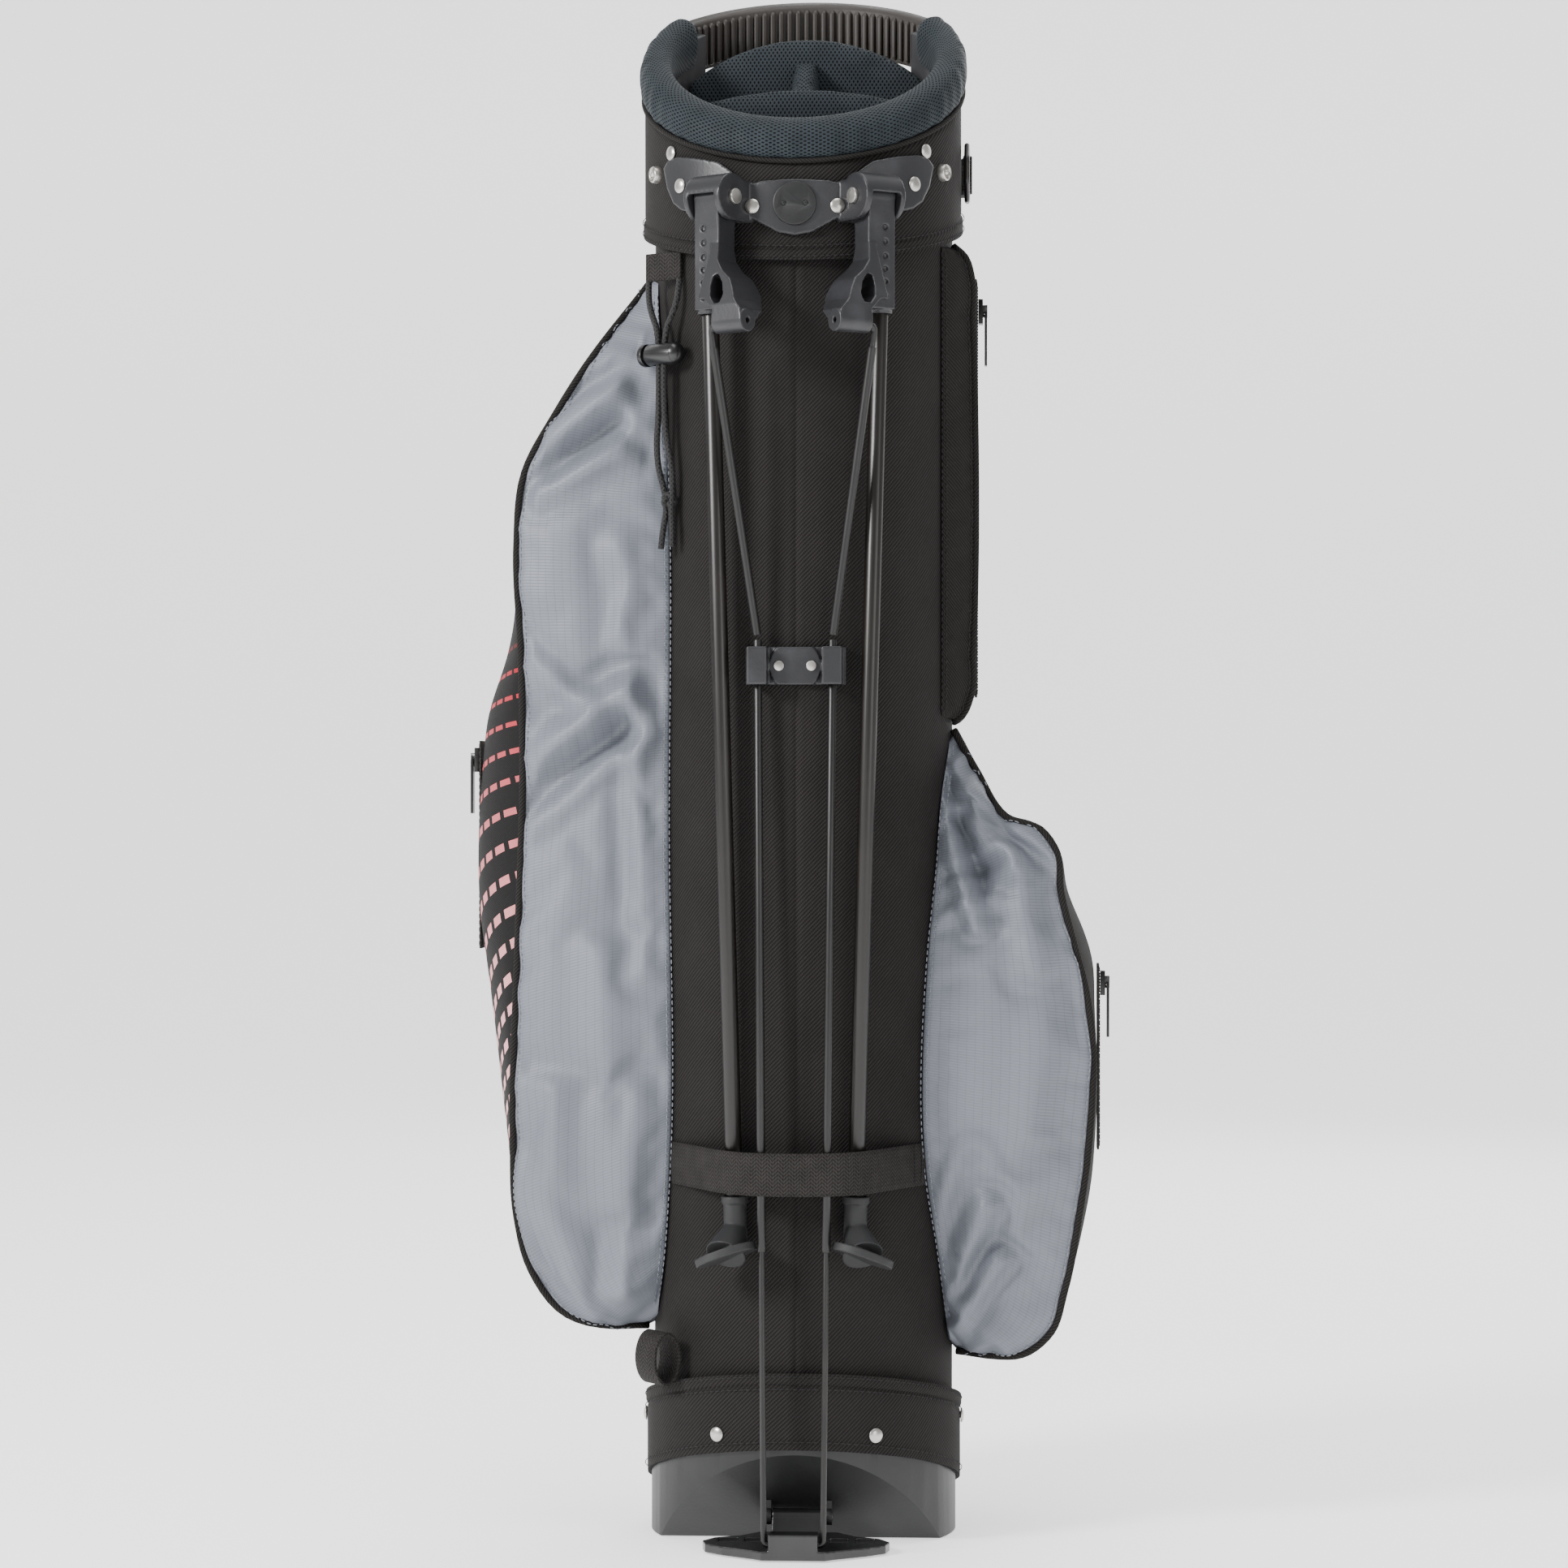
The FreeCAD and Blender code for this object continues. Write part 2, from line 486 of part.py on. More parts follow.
def build_bracket():
    face = "collar_radius + fit_gap"
    patch = make_prism("XZ", bracket_outline(), "40", "80")
    wall = make_ring(f"{face} + bracket_thick", face, ("shield_low - 10", "0"), ("wing_top + 10", "0"))
    left_hood = leg_place(make_hood())
    core = make_cylinder(face, "200", ("0", "0", "shield_low - 60"))
    relief = leg_place(make_cylinder("head_radius + 1.6", "2 * head_half + 1", ("0", "0", "0"), ALONG_X))
    relief.Placement.Rotation = FreeCAD.Rotation(UP, -value("splay")).multiply(FreeCAD.Rotation(UP, ALONG_X))
    bind(relief, x="-hinge_x - (head_half + 0.5) * cos(splay)", y="hinge_y + (head_half + 0.5) * sin(splay)")
    heads = [make_bar(point, point + outward * 14, "rivet_radius + 0.4")
             for point, outward in ring_of(INNER_RIVETS, f"{face} + bracket_thick", "inner_rivet_level",
                                           lambda point, outward: (point, outward))]
    plate = cut(fuse(common(patch, wall), left_hood, mirror(left_hood)), core, relief, mirror(relief), *heads,
                *holes(OUTER_RIVETS, f"{face} + bracket_thick", "outer_rivet_level", "12"),
                *holes(INNER_RIVETS, f"{face} + bracket_thick", "inner_rivet_level", "12"))
    node("leg_bracket", plate)
    head = rivet("rivet_radius", "bracket_thick + fit_gap + collar_radius - tube_radius - 0.5")
    outer = ring_of(OUTER_RIVETS, f"{face} + bracket_thick", "outer_rivet_level", head)
    inner = ring_of(INNER_RIVETS, f"{face} + bracket_thick", "inner_rivet_level", head)
    around = ring_of(COLLAR_RIVETS, "collar_radius", "snap_level + 10", rivet("rivet_radius", "3.5"))
    lowest = ring_of(BASE_RIVETS, "cup_radius + fit_gap + band_thick", "base_rivet_level",
                     rivet("rivet_radius", "band_thick + fit_gap + cup_wall"))
    node("rivets", group(*outer, *inner, *around, *lowest))
    back = f"{face} + bracket_thick + 0.05"
    disc = revolve("badge", [("0.001", "0"), ("badge_radius", "0"), ("badge_radius", "badge_thick - 0.4"),
                                  ("badge_radius - 0.6", "badge_thick"), ("0.001", "badge_thick")])
    aim(disc, ALONG_Y * -1)
    bind(disc, y=f"-({back})", z="badge_level")
    drilled = cut(disc, *(make_cylinder("1.3", "9", (f"{side} * badge_radius / 2", f"-({back}) + 4",
                                                     "badge_level"),
                                        ALONG_Y * -1) for side in (-1, 1)))
    node("badge_disc", drilled)
    screws = [make_cylinder("1.2", "badge_thick + 0.3", (f"{side} * badge_radius / 2", f"-({back})",
                                                         "badge_level"),
                            ALONG_Y * -1) for side in (-1, 1)]
    node("badge_screws", group(*screws))
    inside = "head_half + side_gap"
    pin = fuse(make_cylinder("hinge_pin", f"2 * ({inside}) + cheek + inner_cheek", (f"-({inside}) - cheek",
            "0", "0"), ALONG_X),
               make_cylinder("hinge_pin + 1.8", "2", (f"{inside} + inner_cheek + 0.05", "0", "0"), ALONG_X))
    left_pin = leg_place(pin)
    node("hinge_pins", group(left_pin, mirror(left_pin)))


def make_knuckle():
    """The moulded leg head: hinge barrel, neck, tube socket and the boss that the rod pushes."""
    barrel = make_cylinder("head_radius", "2 * head_half", ("-head_half", "0", "0"), ALONG_X)
    neck = make_prism("YZ", [("-head_radius + 0.2", "0"), ("head_radius - 0.2", "0"), ("6.5", "-18"),
                             ("6.5", "-neck_length"), ("-7.5", "-neck_length"), ("-7.5", "-18")],
                      "-head_half", "2 * head_half")
    front = make_prism("XZ", [("4", "-26"), ("head_half", "-26"), ("head_half + 2.5", "-boss_drop + 35"),
                              ("boss_end - 21", "-boss_drop + 29"), ("boss_end - 14", "-boss_drop + 24"),
                              ("boss_end - 10", "-boss_drop + 18"), ("boss_end - 7", "-boss_drop + 12"),
                              ("boss_end - 1", "-boss_drop + 6"), ("boss_end", "-boss_drop - boss_radius"),
                              ("boss_start", "-boss_drop - boss_radius"), ("boss_start", "-boss_drop + 7"),
                              ("head_half", "-neck_length + 4"), ("4", "-neck_length + 4")], "-60", "120")
    window = make_prism("XZ", [("head_half + 2.4", "-boss_drop + 26"), ("head_half + 5.5", "-boss_drop + 27"),
                               ("head_half + 10", "-boss_drop + 22"), ("head_half + 13", "-boss_drop + 15"),
                               ("head_half + 12", "-boss_drop + 10.5"), ("head_half + 8", "-boss_drop + 10"),
                               ("head_half + 4", "-boss_drop + 14"), ("head_half + 2.4", "-boss_drop + 20")],
                        "-60", "120")
    side = make_prism("YZ", [("-7", "-24"), ("5", "-24"), ("5", "-neck_length + 4"),
                             ("-boss_out + boss_radius", "-boss_drop"), ("-boss_out",
                                     "-boss_drop - boss_radius"),
                             ("-boss_out - boss_radius", "-boss_drop"), ("-boss_out - boss_radius + 1",
                                     "-boss_drop + 9")],
                      "-20", "80")
    boss = make_cylinder("boss_radius", "boss_end - boss_start", ("boss_start", "-boss_out", "-boss_drop"),
                         ALONG_X)
    start = Vector(value("tube_side"), 0, -value("socket_top") + 6)
    end = Vector(value("leg_end_side"), value("leg_end_in"), -value("leg_end_drop"))
    along = (end - Vector(value("tube_side"), 0, -value("socket_top"))).normalize()
    sleeve_end = start + along * (value("neck_length") - value("socket_top") + 8)
    sleeve = make_bar(start, sleeve_end, "leg_radius + 2.4")
    solid = fuse(barrel, neck, common(front, side), boss, sleeve)
    tube_start = Vector(value("tube_side"), 0, -value("socket_top"))
    socket = make_bar(tube_start - along * 0.2, tube_start + along * 60, "leg_radius + 0.05")
    pin_bore = make_cylinder("hinge_pin + 0.15", "40", ("-20", "0", "0"), ALONG_X)
    rod_bore = make_cylinder("boss_bore", "boss_end - boss_start - 4", ("boss_start - 0.5", "-boss_out",
            "-boss_drop"), ALONG_X)
    eye = make_cylinder("1.6", "20", ("boss_end - 10", "-boss_out", "-boss_drop"), ALONG_X)
    dimples = [make_cylinder("1.7", "1.5", ("-2.5", "-7.6", f"-{drop}"), ALONG_Y)
               for drop in (17, 25, 33, 40, 47, 55)]
    return cut(solid, window, socket, pin_bore, rod_bore, eye, *dimples)


def build_legs():
    left = node("left_knuckle", leg_place(make_knuckle()))
    node("right_knuckle", mirror(left))
    top = leg_point(value("tube_side"), 0, value("socket_top"))
    bottom = leg_point(value("leg_end_side"), value("leg_end_in"), value("leg_end_drop"))
    tube = cut(make_bar(top, bottom, "leg_radius"), make_bar(top, bottom, "leg_radius - leg_wall"))
    left_tube = node("left_leg_tube", tube)
    node("right_leg_tube", mirror(left_tube))
    left_boot = node("left_foot", make_boot(top, bottom))
    node("right_foot", mirror(left_boot))


def make_boot(top, bottom):
    """A rubber boot: a neck round the tube's end and an oval sole tilted to meet the ground."""
    along = (bottom - top).normalize()
    neck = Part.makeCylinder(value("boot_radius"), 28, bottom - along * 22, along)
    collar = Part.makeCylinder(value("boot_radius") + 1, 4, bottom - along * 22.5, along)
    down = Vector(0.31, -0.225, -0.92).normalize()
    middle = bottom + Vector(-5.5, -11.5, -7)
    across = down.cross(ALONG_Y).normalize()
    oval = Part.Ellipse(middle + across * 17.4, middle + down.cross(across).normalize() * 12, middle)
    sole = Part.Face(Part.Wire(oval.toShape())).extrude(down * 4.5)
    ankle = bottom - along * 4
    toward = middle + down * 2.2 - ankle
    heel = Part.makeCone(value("boot_radius"), 11.5, toward.Length, ankle, toward)
    bore = Part.makeCylinder(value("leg_radius") + 0.05, 60, bottom - along * 60, along)
    return feature(neck.fuse(collar).fuse(heel).fuse(sole).cut(bore).removeSplitter())


def build_foot_plate():
    """The pedal under the base: winged sole, hinge barrel and the block that holds the rods."""
    outline = [("0", "plate_front"), ("block_half + 4", "plate_front"), ("block_half + 9", "plate_front + 4"),
               ("wing_reach - 12", "plate_front + 15"), ("wing_reach - 2", "plate_front + 24"),
               ("wing_reach", "plate_front + 33"), ("wing_reach - 6", "plate_front + 43"),
               ("wing_reach - 20", "plate_front + 50"), ("26", "foot_hinge_y + 1"), ("22",
                       "foot_hinge_y + 6")]
    full = outline + [(f"-({across})", along) for across, along in reversed(outline[1:])]
    plate = pad("sole", "XY_Plane", full, "sole_thick")
    bind(plate, z="sole_low")
    block = make_box(("-block_half", "plate_front", "sole_low"), ("2 * block_half", "13", "block_high"))
    barrel = make_cylinder("barrel_radius", "2 * barrel_half", ("-barrel_half", "foot_hinge_y",
                                                                "foot_hinge_z"), ALONG_X)
    web = make_prism("YZ", [("foot_hinge_y - 16", "sole_low + 2"), ("foot_hinge_y + 3", "sole_low + 2"),
                            ("foot_hinge_y + 4", "foot_hinge_z"), ("foot_hinge_y - 4.2", "foot_hinge_z"),
                            ("foot_hinge_y - 9",
                             "sole_low + sole_thick + 2")], "-barrel_half", "2 * barrel_half")
    windows = [make_box((f"{middle} - 5.5", "foot_hinge_y - 26", "-5"), ("11", "13", "30"))
               for middle in ("-38", "-23.5", "23.5", "38")]
    rod_bore = make_cylinder("wire_radius + 0.15", "60", ("-30", "rod_foot_y", "rod_foot_z"), ALONG_X)
    pin_bore = make_cylinder("foot_pin + 0.1", "60", ("-30", "foot_hinge_y", "foot_hinge_z"), ALONG_X)
    solid = cut(fuse(plate, block, barrel, web), rod_bore, pin_bore, *windows)
    node("foot_plate", solid)


def wire_path(points, bend):
    """Straight runs through points, joined by tangent arcs of one radius."""
    edges = []
    start = points[0]
    for before, corner, after in zip(points, points[1:], points[2:]):
        toward = (before - corner).normalize()
        away = (after - corner).normalize()
        half = toward.getAngle(away) / 2
        reach = bend / math.tan(half)
        bisector = (toward + away).normalize()
        middle = corner + bisector * (bend / math.sin(half) - bend)
        edges.append(Part.LineSegment(start, corner + toward * reach).toShape())
        edges.append(Part.Arc(corner + toward * reach, middle, corner + away * reach).toShape())
        start = corner + away * reach
    edges.append(Part.LineSegment(start, points[-1]).toShape())
    return Part.Wire(edges)


def sweep_round(path, radius):
    first = path.Edges[0]
    start = first.valueAt(first.FirstParameter)
    tangent = first.tangentAt(first.FirstParameter)
    section = Part.Wire(Part.makeCircle(radius, start, tangent))
    return path.makePipeShell([section], True, False, 2)


def build_rods():
    flex = Vector(-value("rod_x"), value("rod_y"), value("flex_z"))
    foot = Vector(-value("rod_foot_x"), value("rod_foot_y"), value("rod_foot_z"))
    rise = (flex - foot).normalize()
    wire = value("wire_radius")
    lower_top = flex - rise * value("flex_gap")
    hook = wire_path([Vector(-2.5, foot.y, foot.z), foot, lower_top], 2.6)
    left_rod = node("left_rod", feature(sweep_round(hook, wire)))
    node("right_rod", mirror(left_rod))
    low = foot + rise * (value("sleeve_low") - foot.z)
    sleeve = cut(make_bar(low, lower_top, "sleeve_radius"), make_bar(low, lower_top, "wire_radius + 0.05"))
    node("right_rod_sleeve", mirror(node("left_rod_sleeve", sleeve)))
    drop = value("boss_drop") + value("hook_drop")
    corner = leg_point(value("corner_side"), -value("boss_out"), drop)
    tip = leg_point(value("hook_end"), -value("boss_out"), drop)
    climb = (corner - flex).normalize()
    upper = wire_path([flex + climb * value("flex_gap"), corner, tip], 3.5)
    cover_end = corner - climb * 12
    cover = cut(make_bar(flex + climb * value("flex_gap"), cover_end, "sleeve_radius"),
                make_bar(flex, cover_end, "wire_radius + 0.05"))
    left_top = group(feature(sweep_round(upper, wire)), cover)
    node("right_rod_top", mirror(node("left_rod_top", left_top)))


def build_clip():
    """The clip on the tube's front that guides both rods."""
    low = "clip_level - clip_height / 2"
    slot_low = "rod_y - clip_slot_lead - clip_slot_y / 2"
    face = "tube_radius + fit_gap"
    back = make_ring(f"{face} + 3.4", face, (low, "0"), (f"{low} + clip_height", "0"))
    keep = make_box(("-rod_x - 7", "-120", low), ("2 * rod_x + 14", "60", "clip_height"))
    bulge = make_cylinder("14.3", "5", ("0", f"-({face}) + 1", "clip_level"), ALONG_Y * -1)
    barrels = [make_box((f"{side} * rod_x - clip_slot_x / 2 - 2.2", f"{slot_low} - 2.2", low),
                        ("clip_slot_x + 4.4", "clip_slot_y + 8", "clip_height")) for side in (-1, 1)]
    slots = [make_box((f"{side} * rod_x - clip_slot_x / 2", slot_low, f"{low} - 5"),
                      ("clip_slot_x", "clip_slot_y", "clip_height + 10")) for side in (-1, 1)]
    slab = common(fuse(common(back, keep), common(bulge, keep), *barrels), keep)
    core = make_cylinder(face, "80", ("0", "0", f"{low} - 20"))
    screw_holes = [make_cylinder("1.5", "30", (f"{side} * 9", "-70", "clip_level"),
                                 ALONG_Y * -1) for side in (-1, 1)]
    node("guide_clip", cut(slab, core, *slots, *screw_holes))
    heads = [fuse(make_cylinder("2.8", "1.4", (f"{side} * 9", f"-({face}) - 4.05", "clip_level"),
                                ALONG_Y * -1),
                  make_cylinder("1.4", "4", (f"{side} * 9", f"-({face}) - 0.6", "clip_level"), ALONG_Y * -1))
             for side in (-1, 1)]
    node("clip_screws", group(*heads))


def thicken(points, thick):
    """The corners of a band of one thickness to the right of an open line, in the line's plane."""
    line = [Vector(*point, 0) for point in points]
    sides = []
    for start, end in zip(line, line[1:]):
        along = (end - start).normalize()
        sides.append(Vector(along.y, -along.x, 0))
    beside = [line[0] + sides[0] * thick]
    for corner, before, after in zip(line[1:], sides, sides[1:]):
        middle = (before + after).normalize()
        beside.append(corner + middle * (thick / middle.dot(before)))
    beside.append(line[-1] + sides[-1] * thick)
    return line + beside[::-1]


def ribbon(points, thick, low, high):
    """A band of webbing that stands on edge along a plan path."""
    corners = thicken(points, thick)
    face = Part.Face(Part.makePolygon([corner + UP * low for corner in corners + corners[:1]]))
    return face.extrude(UP * (high - low))


def build_leg_strap():
    half = value("strap_width") / 2
    level = value("strap_level")
    way = [(-71.5, -47.6), (-40.5, -92.5), (-16, -104.5), (16, -104.5), (40.5, -92.5), (71.5, -47.6)]
    band = ribbon(way, value("strap_thick"), level - half, level + half)
    node("leg_strap", feature(band))


def pocket(front, plan, name, depth_from, depth_to):
    """A hollow pouch: a front outline and a plan, cut to the round body, with a cloth wall."""
    wall = value("cloth_wall")
    layers = []
    for inset in (0, wall):
        seen = Part.Face(Part.makePolygon([Vector(x, 0, z) for x, z in front + front[:1]]))
        above = Part.Face(Part.makePolygon([Vector(x, y, 0) for x, y in plan + plan[:1]]))
        if inset:
            seen = Part.Face(seen.OuterWire.makeOffset2D(-inset, 2))
            above = Part.Face(above.OuterWire.makeOffset2D(-inset, 2))
        seen.translate(ALONG_Y * depth_from)
        body = seen.extrude(ALONG_Y * (depth_to - depth_from)).common(above.extrude(UP * 900))
        body = body.cut(Part.makeCylinder(value("tube_radius") + value("fit_gap") + inset, 1000))
        layers.append(body)
    return node(name, feature(layers[0].cut(layers[1]).removeSplitter()))


def build_pockets():
    left_front = [(-74, 712), (-92, 706), (-150, 632), (-166, 560), (-176, 503), (-187, 452), (-187, 328),
                  (-178, 250), (-170, 190), (-153, 145), (-130, 118), (-110, 110), (-74, 110), (-40,
                          112), (-40, 700)]
    left_plan = [(-73.5, -43), (-100, -38), (-163, -33), (-180, -12), (-187, 8), (-187, 30), (-176, 56),
                 (-140, 73),
                 (-95, 77), (-55, 72), (-50, 40), (-60, -40)]
    pocket(left_front, left_plan, "left_pocket", -60, 90)
    ball_front = [(40, 440), (86, 453), (102, 434), (128, 410), (145, 396), (154, 362), (168, 324), (168,
            214),
                  (161, 176), (148, 130), (134, 103), (100, 101), (40, 103)]
    ball_plan = [(71, -47), (100, -44), (140, -36), (160, -18), (168, 0), (168, 24), (158, 48), (130, 64),
                 (90, 70),
                 (55, 70), (50, 40), (58, -40)]
    pocket(ball_front, ball_plan, "ball_pocket", -60, 90)
    side_front = [(60, 728), (90, 732), (98, 722), (98, 470), (92, 460), (60, 462)]
    side_plan = [(80, -30), (94, -16), (98, 4), (98, 34), (92, 52), (70, 62), (60, 40), (60, -10)]
    pocket(side_front, side_plan, "side_pocket", -60, 90)


def build_zip(name, face_x, place_y, low, high, slider_z):
    """A straight zip on a pocket's outer face: tape, slider and hanging pull."""
    side = 1 if face_x > 0 else -1
    thick = value("zip_thick")
    width = value("zip_width")
    def slab(start, depth, y_half, bottom, top):
        first = face_x + side * start
        x_low = min(first, first + side * depth)
        return Part.makeBox(depth, 2 * y_half, top - bottom, Vector(x_low, place_y - y_half, bottom))
    tape = slab(0.02, thick, width / 2, low, high)
    runner = slab(thick + 0.4, 2.6, 5, slider_z, slider_z + 14)
    bail = slab(thick + 2.7, 2.9, 1.6, slider_z + 4, slider_z + 11)
    eye = Part.makeCylinder(0.9, 20, Vector(face_x + side * (thick + 4.5), place_y - 10, slider_z + 6),
                            ALONG_Y)
    node(f"{name}_slider", feature(runner.fuse(bail).cut(eye).removeSplitter()))
    axle = Part.makeCylinder(0.75, 8, Vector(face_x + side * (thick + 4.5), place_y - 4, slider_z + 6),
                             ALONG_Y)
    tab = slab(thick + 3.9, 1.5, 4, slider_z - 24, slider_z + 7)
    window = slab(thick + 0.0, 9, 2.2, slider_z + 3.2, slider_z + 13)
    node(f"{name}_pull", feature(tab.cut(window).fuse(axle).removeSplitter()))
    return feature(tape)


def build_zips():
    left = build_zip("left", -187, 19, 330, 450, 432)
    ball = build_zip("ball", 168, 12, 216, 322, 304)
    side = build_zip("side", 98, 19, 475, 715, 690)
    node("zip_tapes", group(left, ball, side))


LEFT_STRAND = [(-85, -44.6, 708), (-85.2, -46.6, 699), (-83, -50.2, 689), (-78.5, -54.4, 678), (-78.5, -54.4,
        632),
               (-80, -54, 617), (-79, -53, 602), (-75.4, -53.6, 590), (-74, -54.2, 579), (-76.2, -55, 568),
               (-77.2, -56, 557)]
RIGHT_STRAND = [(-66.6, -58, 708), (-67.2, -59.6, 699), (-70, -59.2, 689), (-75.5, -57.1, 678), (-75.5,
        -57.1, 632),
                (-73.8, -57, 617), (-70.8, -57.4, 602), (-70.6, -57.6, 590), (-71.4, -57.2, 579), (-70.6,
                        -58.4, 568),
                (-70.8, -58.6, 558)]


def cord(name, points):
    """A thin cord: straight runs joined by the largest tangent arcs that the runs allow."""
    route = [Vector(*point) for point in points]
    edges = []
    start = route[0]
    for before, corner, after in zip(route, route[1:], route[2:]):
        toward = before - corner
        away = after - corner
        reach = 0.45 * min(toward.Length, away.Length)
        turn = math.pi - toward.getAngle(away)
        radius = reach / math.tan(turn / 2)
        print(f"{name} bend radius {radius:.1f} mm")
        toward.normalize()
        away.normalize()
        bisector = (toward + away).normalize()
        half = (math.pi - turn) / 2
        middle = corner + bisector * (radius / math.sin(half) - radius)
        edges.append(Part.LineSegment(start, corner + toward * reach).toShape())
        edges.append(Part.Arc(corner + toward * reach, middle, corner + away * reach).toShape())
        start = corner + away * reach
    edges.append(Part.LineSegment(start, route[-1]).toShape())
    path = Part.Wire(edges)
    tube = sweep_round(path, value("cord_radius"))
    expected = math.pi * value("cord_radius") ** 2 * path.Length
    print(f"{name} length {path.Length:.1f} mm, volume ratio {tube.Volume / expected:.3f}")
    return node(name, feature(tube))


def build_drawcord():
    """The cord below the collar that draws the hood tight, with its tab, knot and lock."""
    cord("left_strand", LEFT_STRAND)
    cord("right_strand", RIGHT_STRAND)
    knot = Part.makeSphere(5.2, Vector(-72.7, -56, 584))
    node("cord_knot", feature(knot))
    along = Vector(0.83, -0.557, 0)
    tab = Part.makeBox(25, 2.4, 15.5, Vector(-12.5, -1.2, 0))
    tab.Placement = FreeCAD.Placement(Vector(-75.8, -51.3, 708), FreeCAD.Rotation(ALONG_X, along))
    node("cord_tab", feature(tab))
    build_cord_lock()


def build_cord_lock():
    centre = Vector(-77, -55.8, 666)
    axis = Vector(0.75, -0.66, 0).normalize()
    end = centre + axis * 12
    barrel = Part.makeCylinder(6.25, 20, end, axis * -1)
    barrel = barrel.fuse(Part.makeSphere(6.25, end - axis * 1.5)).removeSplitter()
    bore = Part.makeCylinder(4.7, 15.5, end - axis * 20.1 , axis)
    slot = Part.makeBox(8.6, 4.6, 40, Vector(-4.3, -2.3, -20))
    slot.Placement = FreeCAD.Placement(centre, FreeCAD.Rotation(ALONG_X, axis))
    node("lock_barrel", feature(barrel.cut(bore).cut(slot).removeSplitter()))
    back = end - axis * 20
    cap = Part.makeCylinder(6.4, 3, back - axis * 2.5, axis * -1)
    plunger = Part.makeCylinder(4.3, 13, back - axis * 2.6, axis)
    long_slot = Part.makeBox(12, 4.6, 40, Vector(-6.6, -2.3, -20))
    long_slot.Placement = FreeCAD.Placement(centre, FreeCAD.Rotation(ALONG_X, axis))
    node("lock_button", feature(cap.fuse(plunger).cut(long_slot).removeSplitter()))
    coils = [Part.makeTorus(3, 0.35, end - axis * (5 + 0.9 * turn), axis) for turn in range(3)]
    node("lock_spring", feature(Part.makeCompound(coils)))


def build_ring():
    """The towel ring on the collar's right side, and its webbing tab."""
    x = value("ring_x")
    y = value("ring_y")
    low = value("ring_low")
    high = value("ring_high")
    reach = value("ring_reach")
    wire = value("ring_wire")
    corners = [Vector(x, y, (low + high) / 2), Vector(x, y, high), Vector(x, y - reach * 0.45, high),
               Vector(x, y - reach, high - 9), Vector(x, y - reach, low + 9), Vector(x, y - reach * 0.45,
                       low),
               Vector(x, y, low), Vector(x, y, (low + high) / 2 - 0.01)]
    node("towel_ring", feature(sweep_round(wire_path(corners, 3.2), wire)))
    plan = [(91.3, 11), (92.9, 10.6), (96.2, 12), (96.4, 17), (91.2, 34), (87.3, 34), (91.3, 18)]
    outline = Part.Face(Part.makePolygon([Vector(px, py, low + 5) for px, py in plan + plan[:1]]))
    tab = outline.extrude(UP * (high - low - 10))
    node("ring_tab", feature(tab.cut(Part.makeCylinder(wire + 0.35, 60, Vector(x, y, low - 10)))))


def strip(points, width, thick):
    """Webbing that runs in the middle plane, along points given as (y, z)."""
    corners = [Vector(-width / 2, corner.x, corner.y) for corner in thicken(points, thick)]
    return Part.Face(Part.makePolygon(corners + corners[:1])).extrude(ALONG_X * width)


def build_carry_strap():
    """The shoulder strap at the back: a shaped pad with webbing and buckles to the bag."""
    pad_points = [(96, 705), (104, 668), (110, 620), (113, 570), (112, 520), (106, 470), (97, 425)]
    node("shoulder_pad", feature(strip(pad_points[::-1], 62, 13)))
    node("upper_strap", feature(strip([(98, 709.5), (93.5, 745), (92.4, 782)], 38, 2.4)))
    webbing = strip([(87.2, 180), (87.2, 250), (88, 330), (92.5, 380), (97.5, 421)], 25, 2)
    anchor = Part.makeBox(34, 2.6, 30, Vector(-17, 89.3, 178))
    node("lower_strap", group(feature(webbing), feature(anchor)))
    frame = Part.makeBox(34, 7, 22, Vector(-17, 90.6, 340)).cut(Part.makeBox(27, 20, 5, Vector(-13.5, 80,
            344)))
    frame = frame.cut(Part.makeBox(27, 20, 5, Vector(-13.5, 80, 353)))
    node("strap_buckle", feature(frame))


def build_base_loop():
    """A pull loop of webbing on the left of the base band, for lifting the bag by its foot."""
    point, outward = on_front("cup_radius + fit_gap + band_thick + 0.3", "52", "104")
    rings = []
    for inset, width in ((0, 20), (1.6, 22)):
        rim = Part.Wire(Part.Ellipse(Vector(0, 0, -width / 2), 15 - inset, 9 - inset).toShape())
        rings.append(Part.Face(rim).extrude(Vector(0, 0, width)))
    loop = rings[0].cut(rings[1])
    across = Vector(outward.y, -outward.x, 0)
    loop.Placement = FreeCAD.Placement(point + outward * 9.2, FreeCAD.Rotation(UP, outward, across, "ZXY"))
    node("base_loop", feature(loop))


def check_and_write():
    """Stop on any failed object or bad shape, then write one STEP file for each node."""
    for thing in doc.Objects:
        if {"Invalid", "Error"} & set(thing.State):
            raise RuntimeError(f"{thing.Name} ({thing.Label}) did not rebuild: {thing.State}")
    for piece in NODES:
        if piece.Shape.isNull() or not piece.Shape.isValid() or not piece.Shape.Solids:
            raise RuntimeError(f"{piece.Label} has no valid solid")
    os.makedirs("parts", exist_ok=True)
    for piece in NODES:
        piece.Shape.exportStep(f"parts/{piece.Label}.step")
    print(f"{len(NODES)} nodes written")


def main():
    build_tube()
    build_base()
    build_top()
    build_handle()
    build_dividers()
    build_bracket()
    build_legs()
    build_foot_plate()
    build_rods()
    build_clip()
    build_leg_strap()
    build_pockets()
    build_zips()
    build_drawcord()
    build_ring()
    build_carry_strap()
    build_base_loop()
    doc.recompute()
    check_and_write()


main()
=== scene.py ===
"""Golf stand bag: the cloth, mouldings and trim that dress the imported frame, with its studio."""

import json
import logging
import math
from dataclasses import dataclass
from enum import Enum
from typing import Callable, Sequence

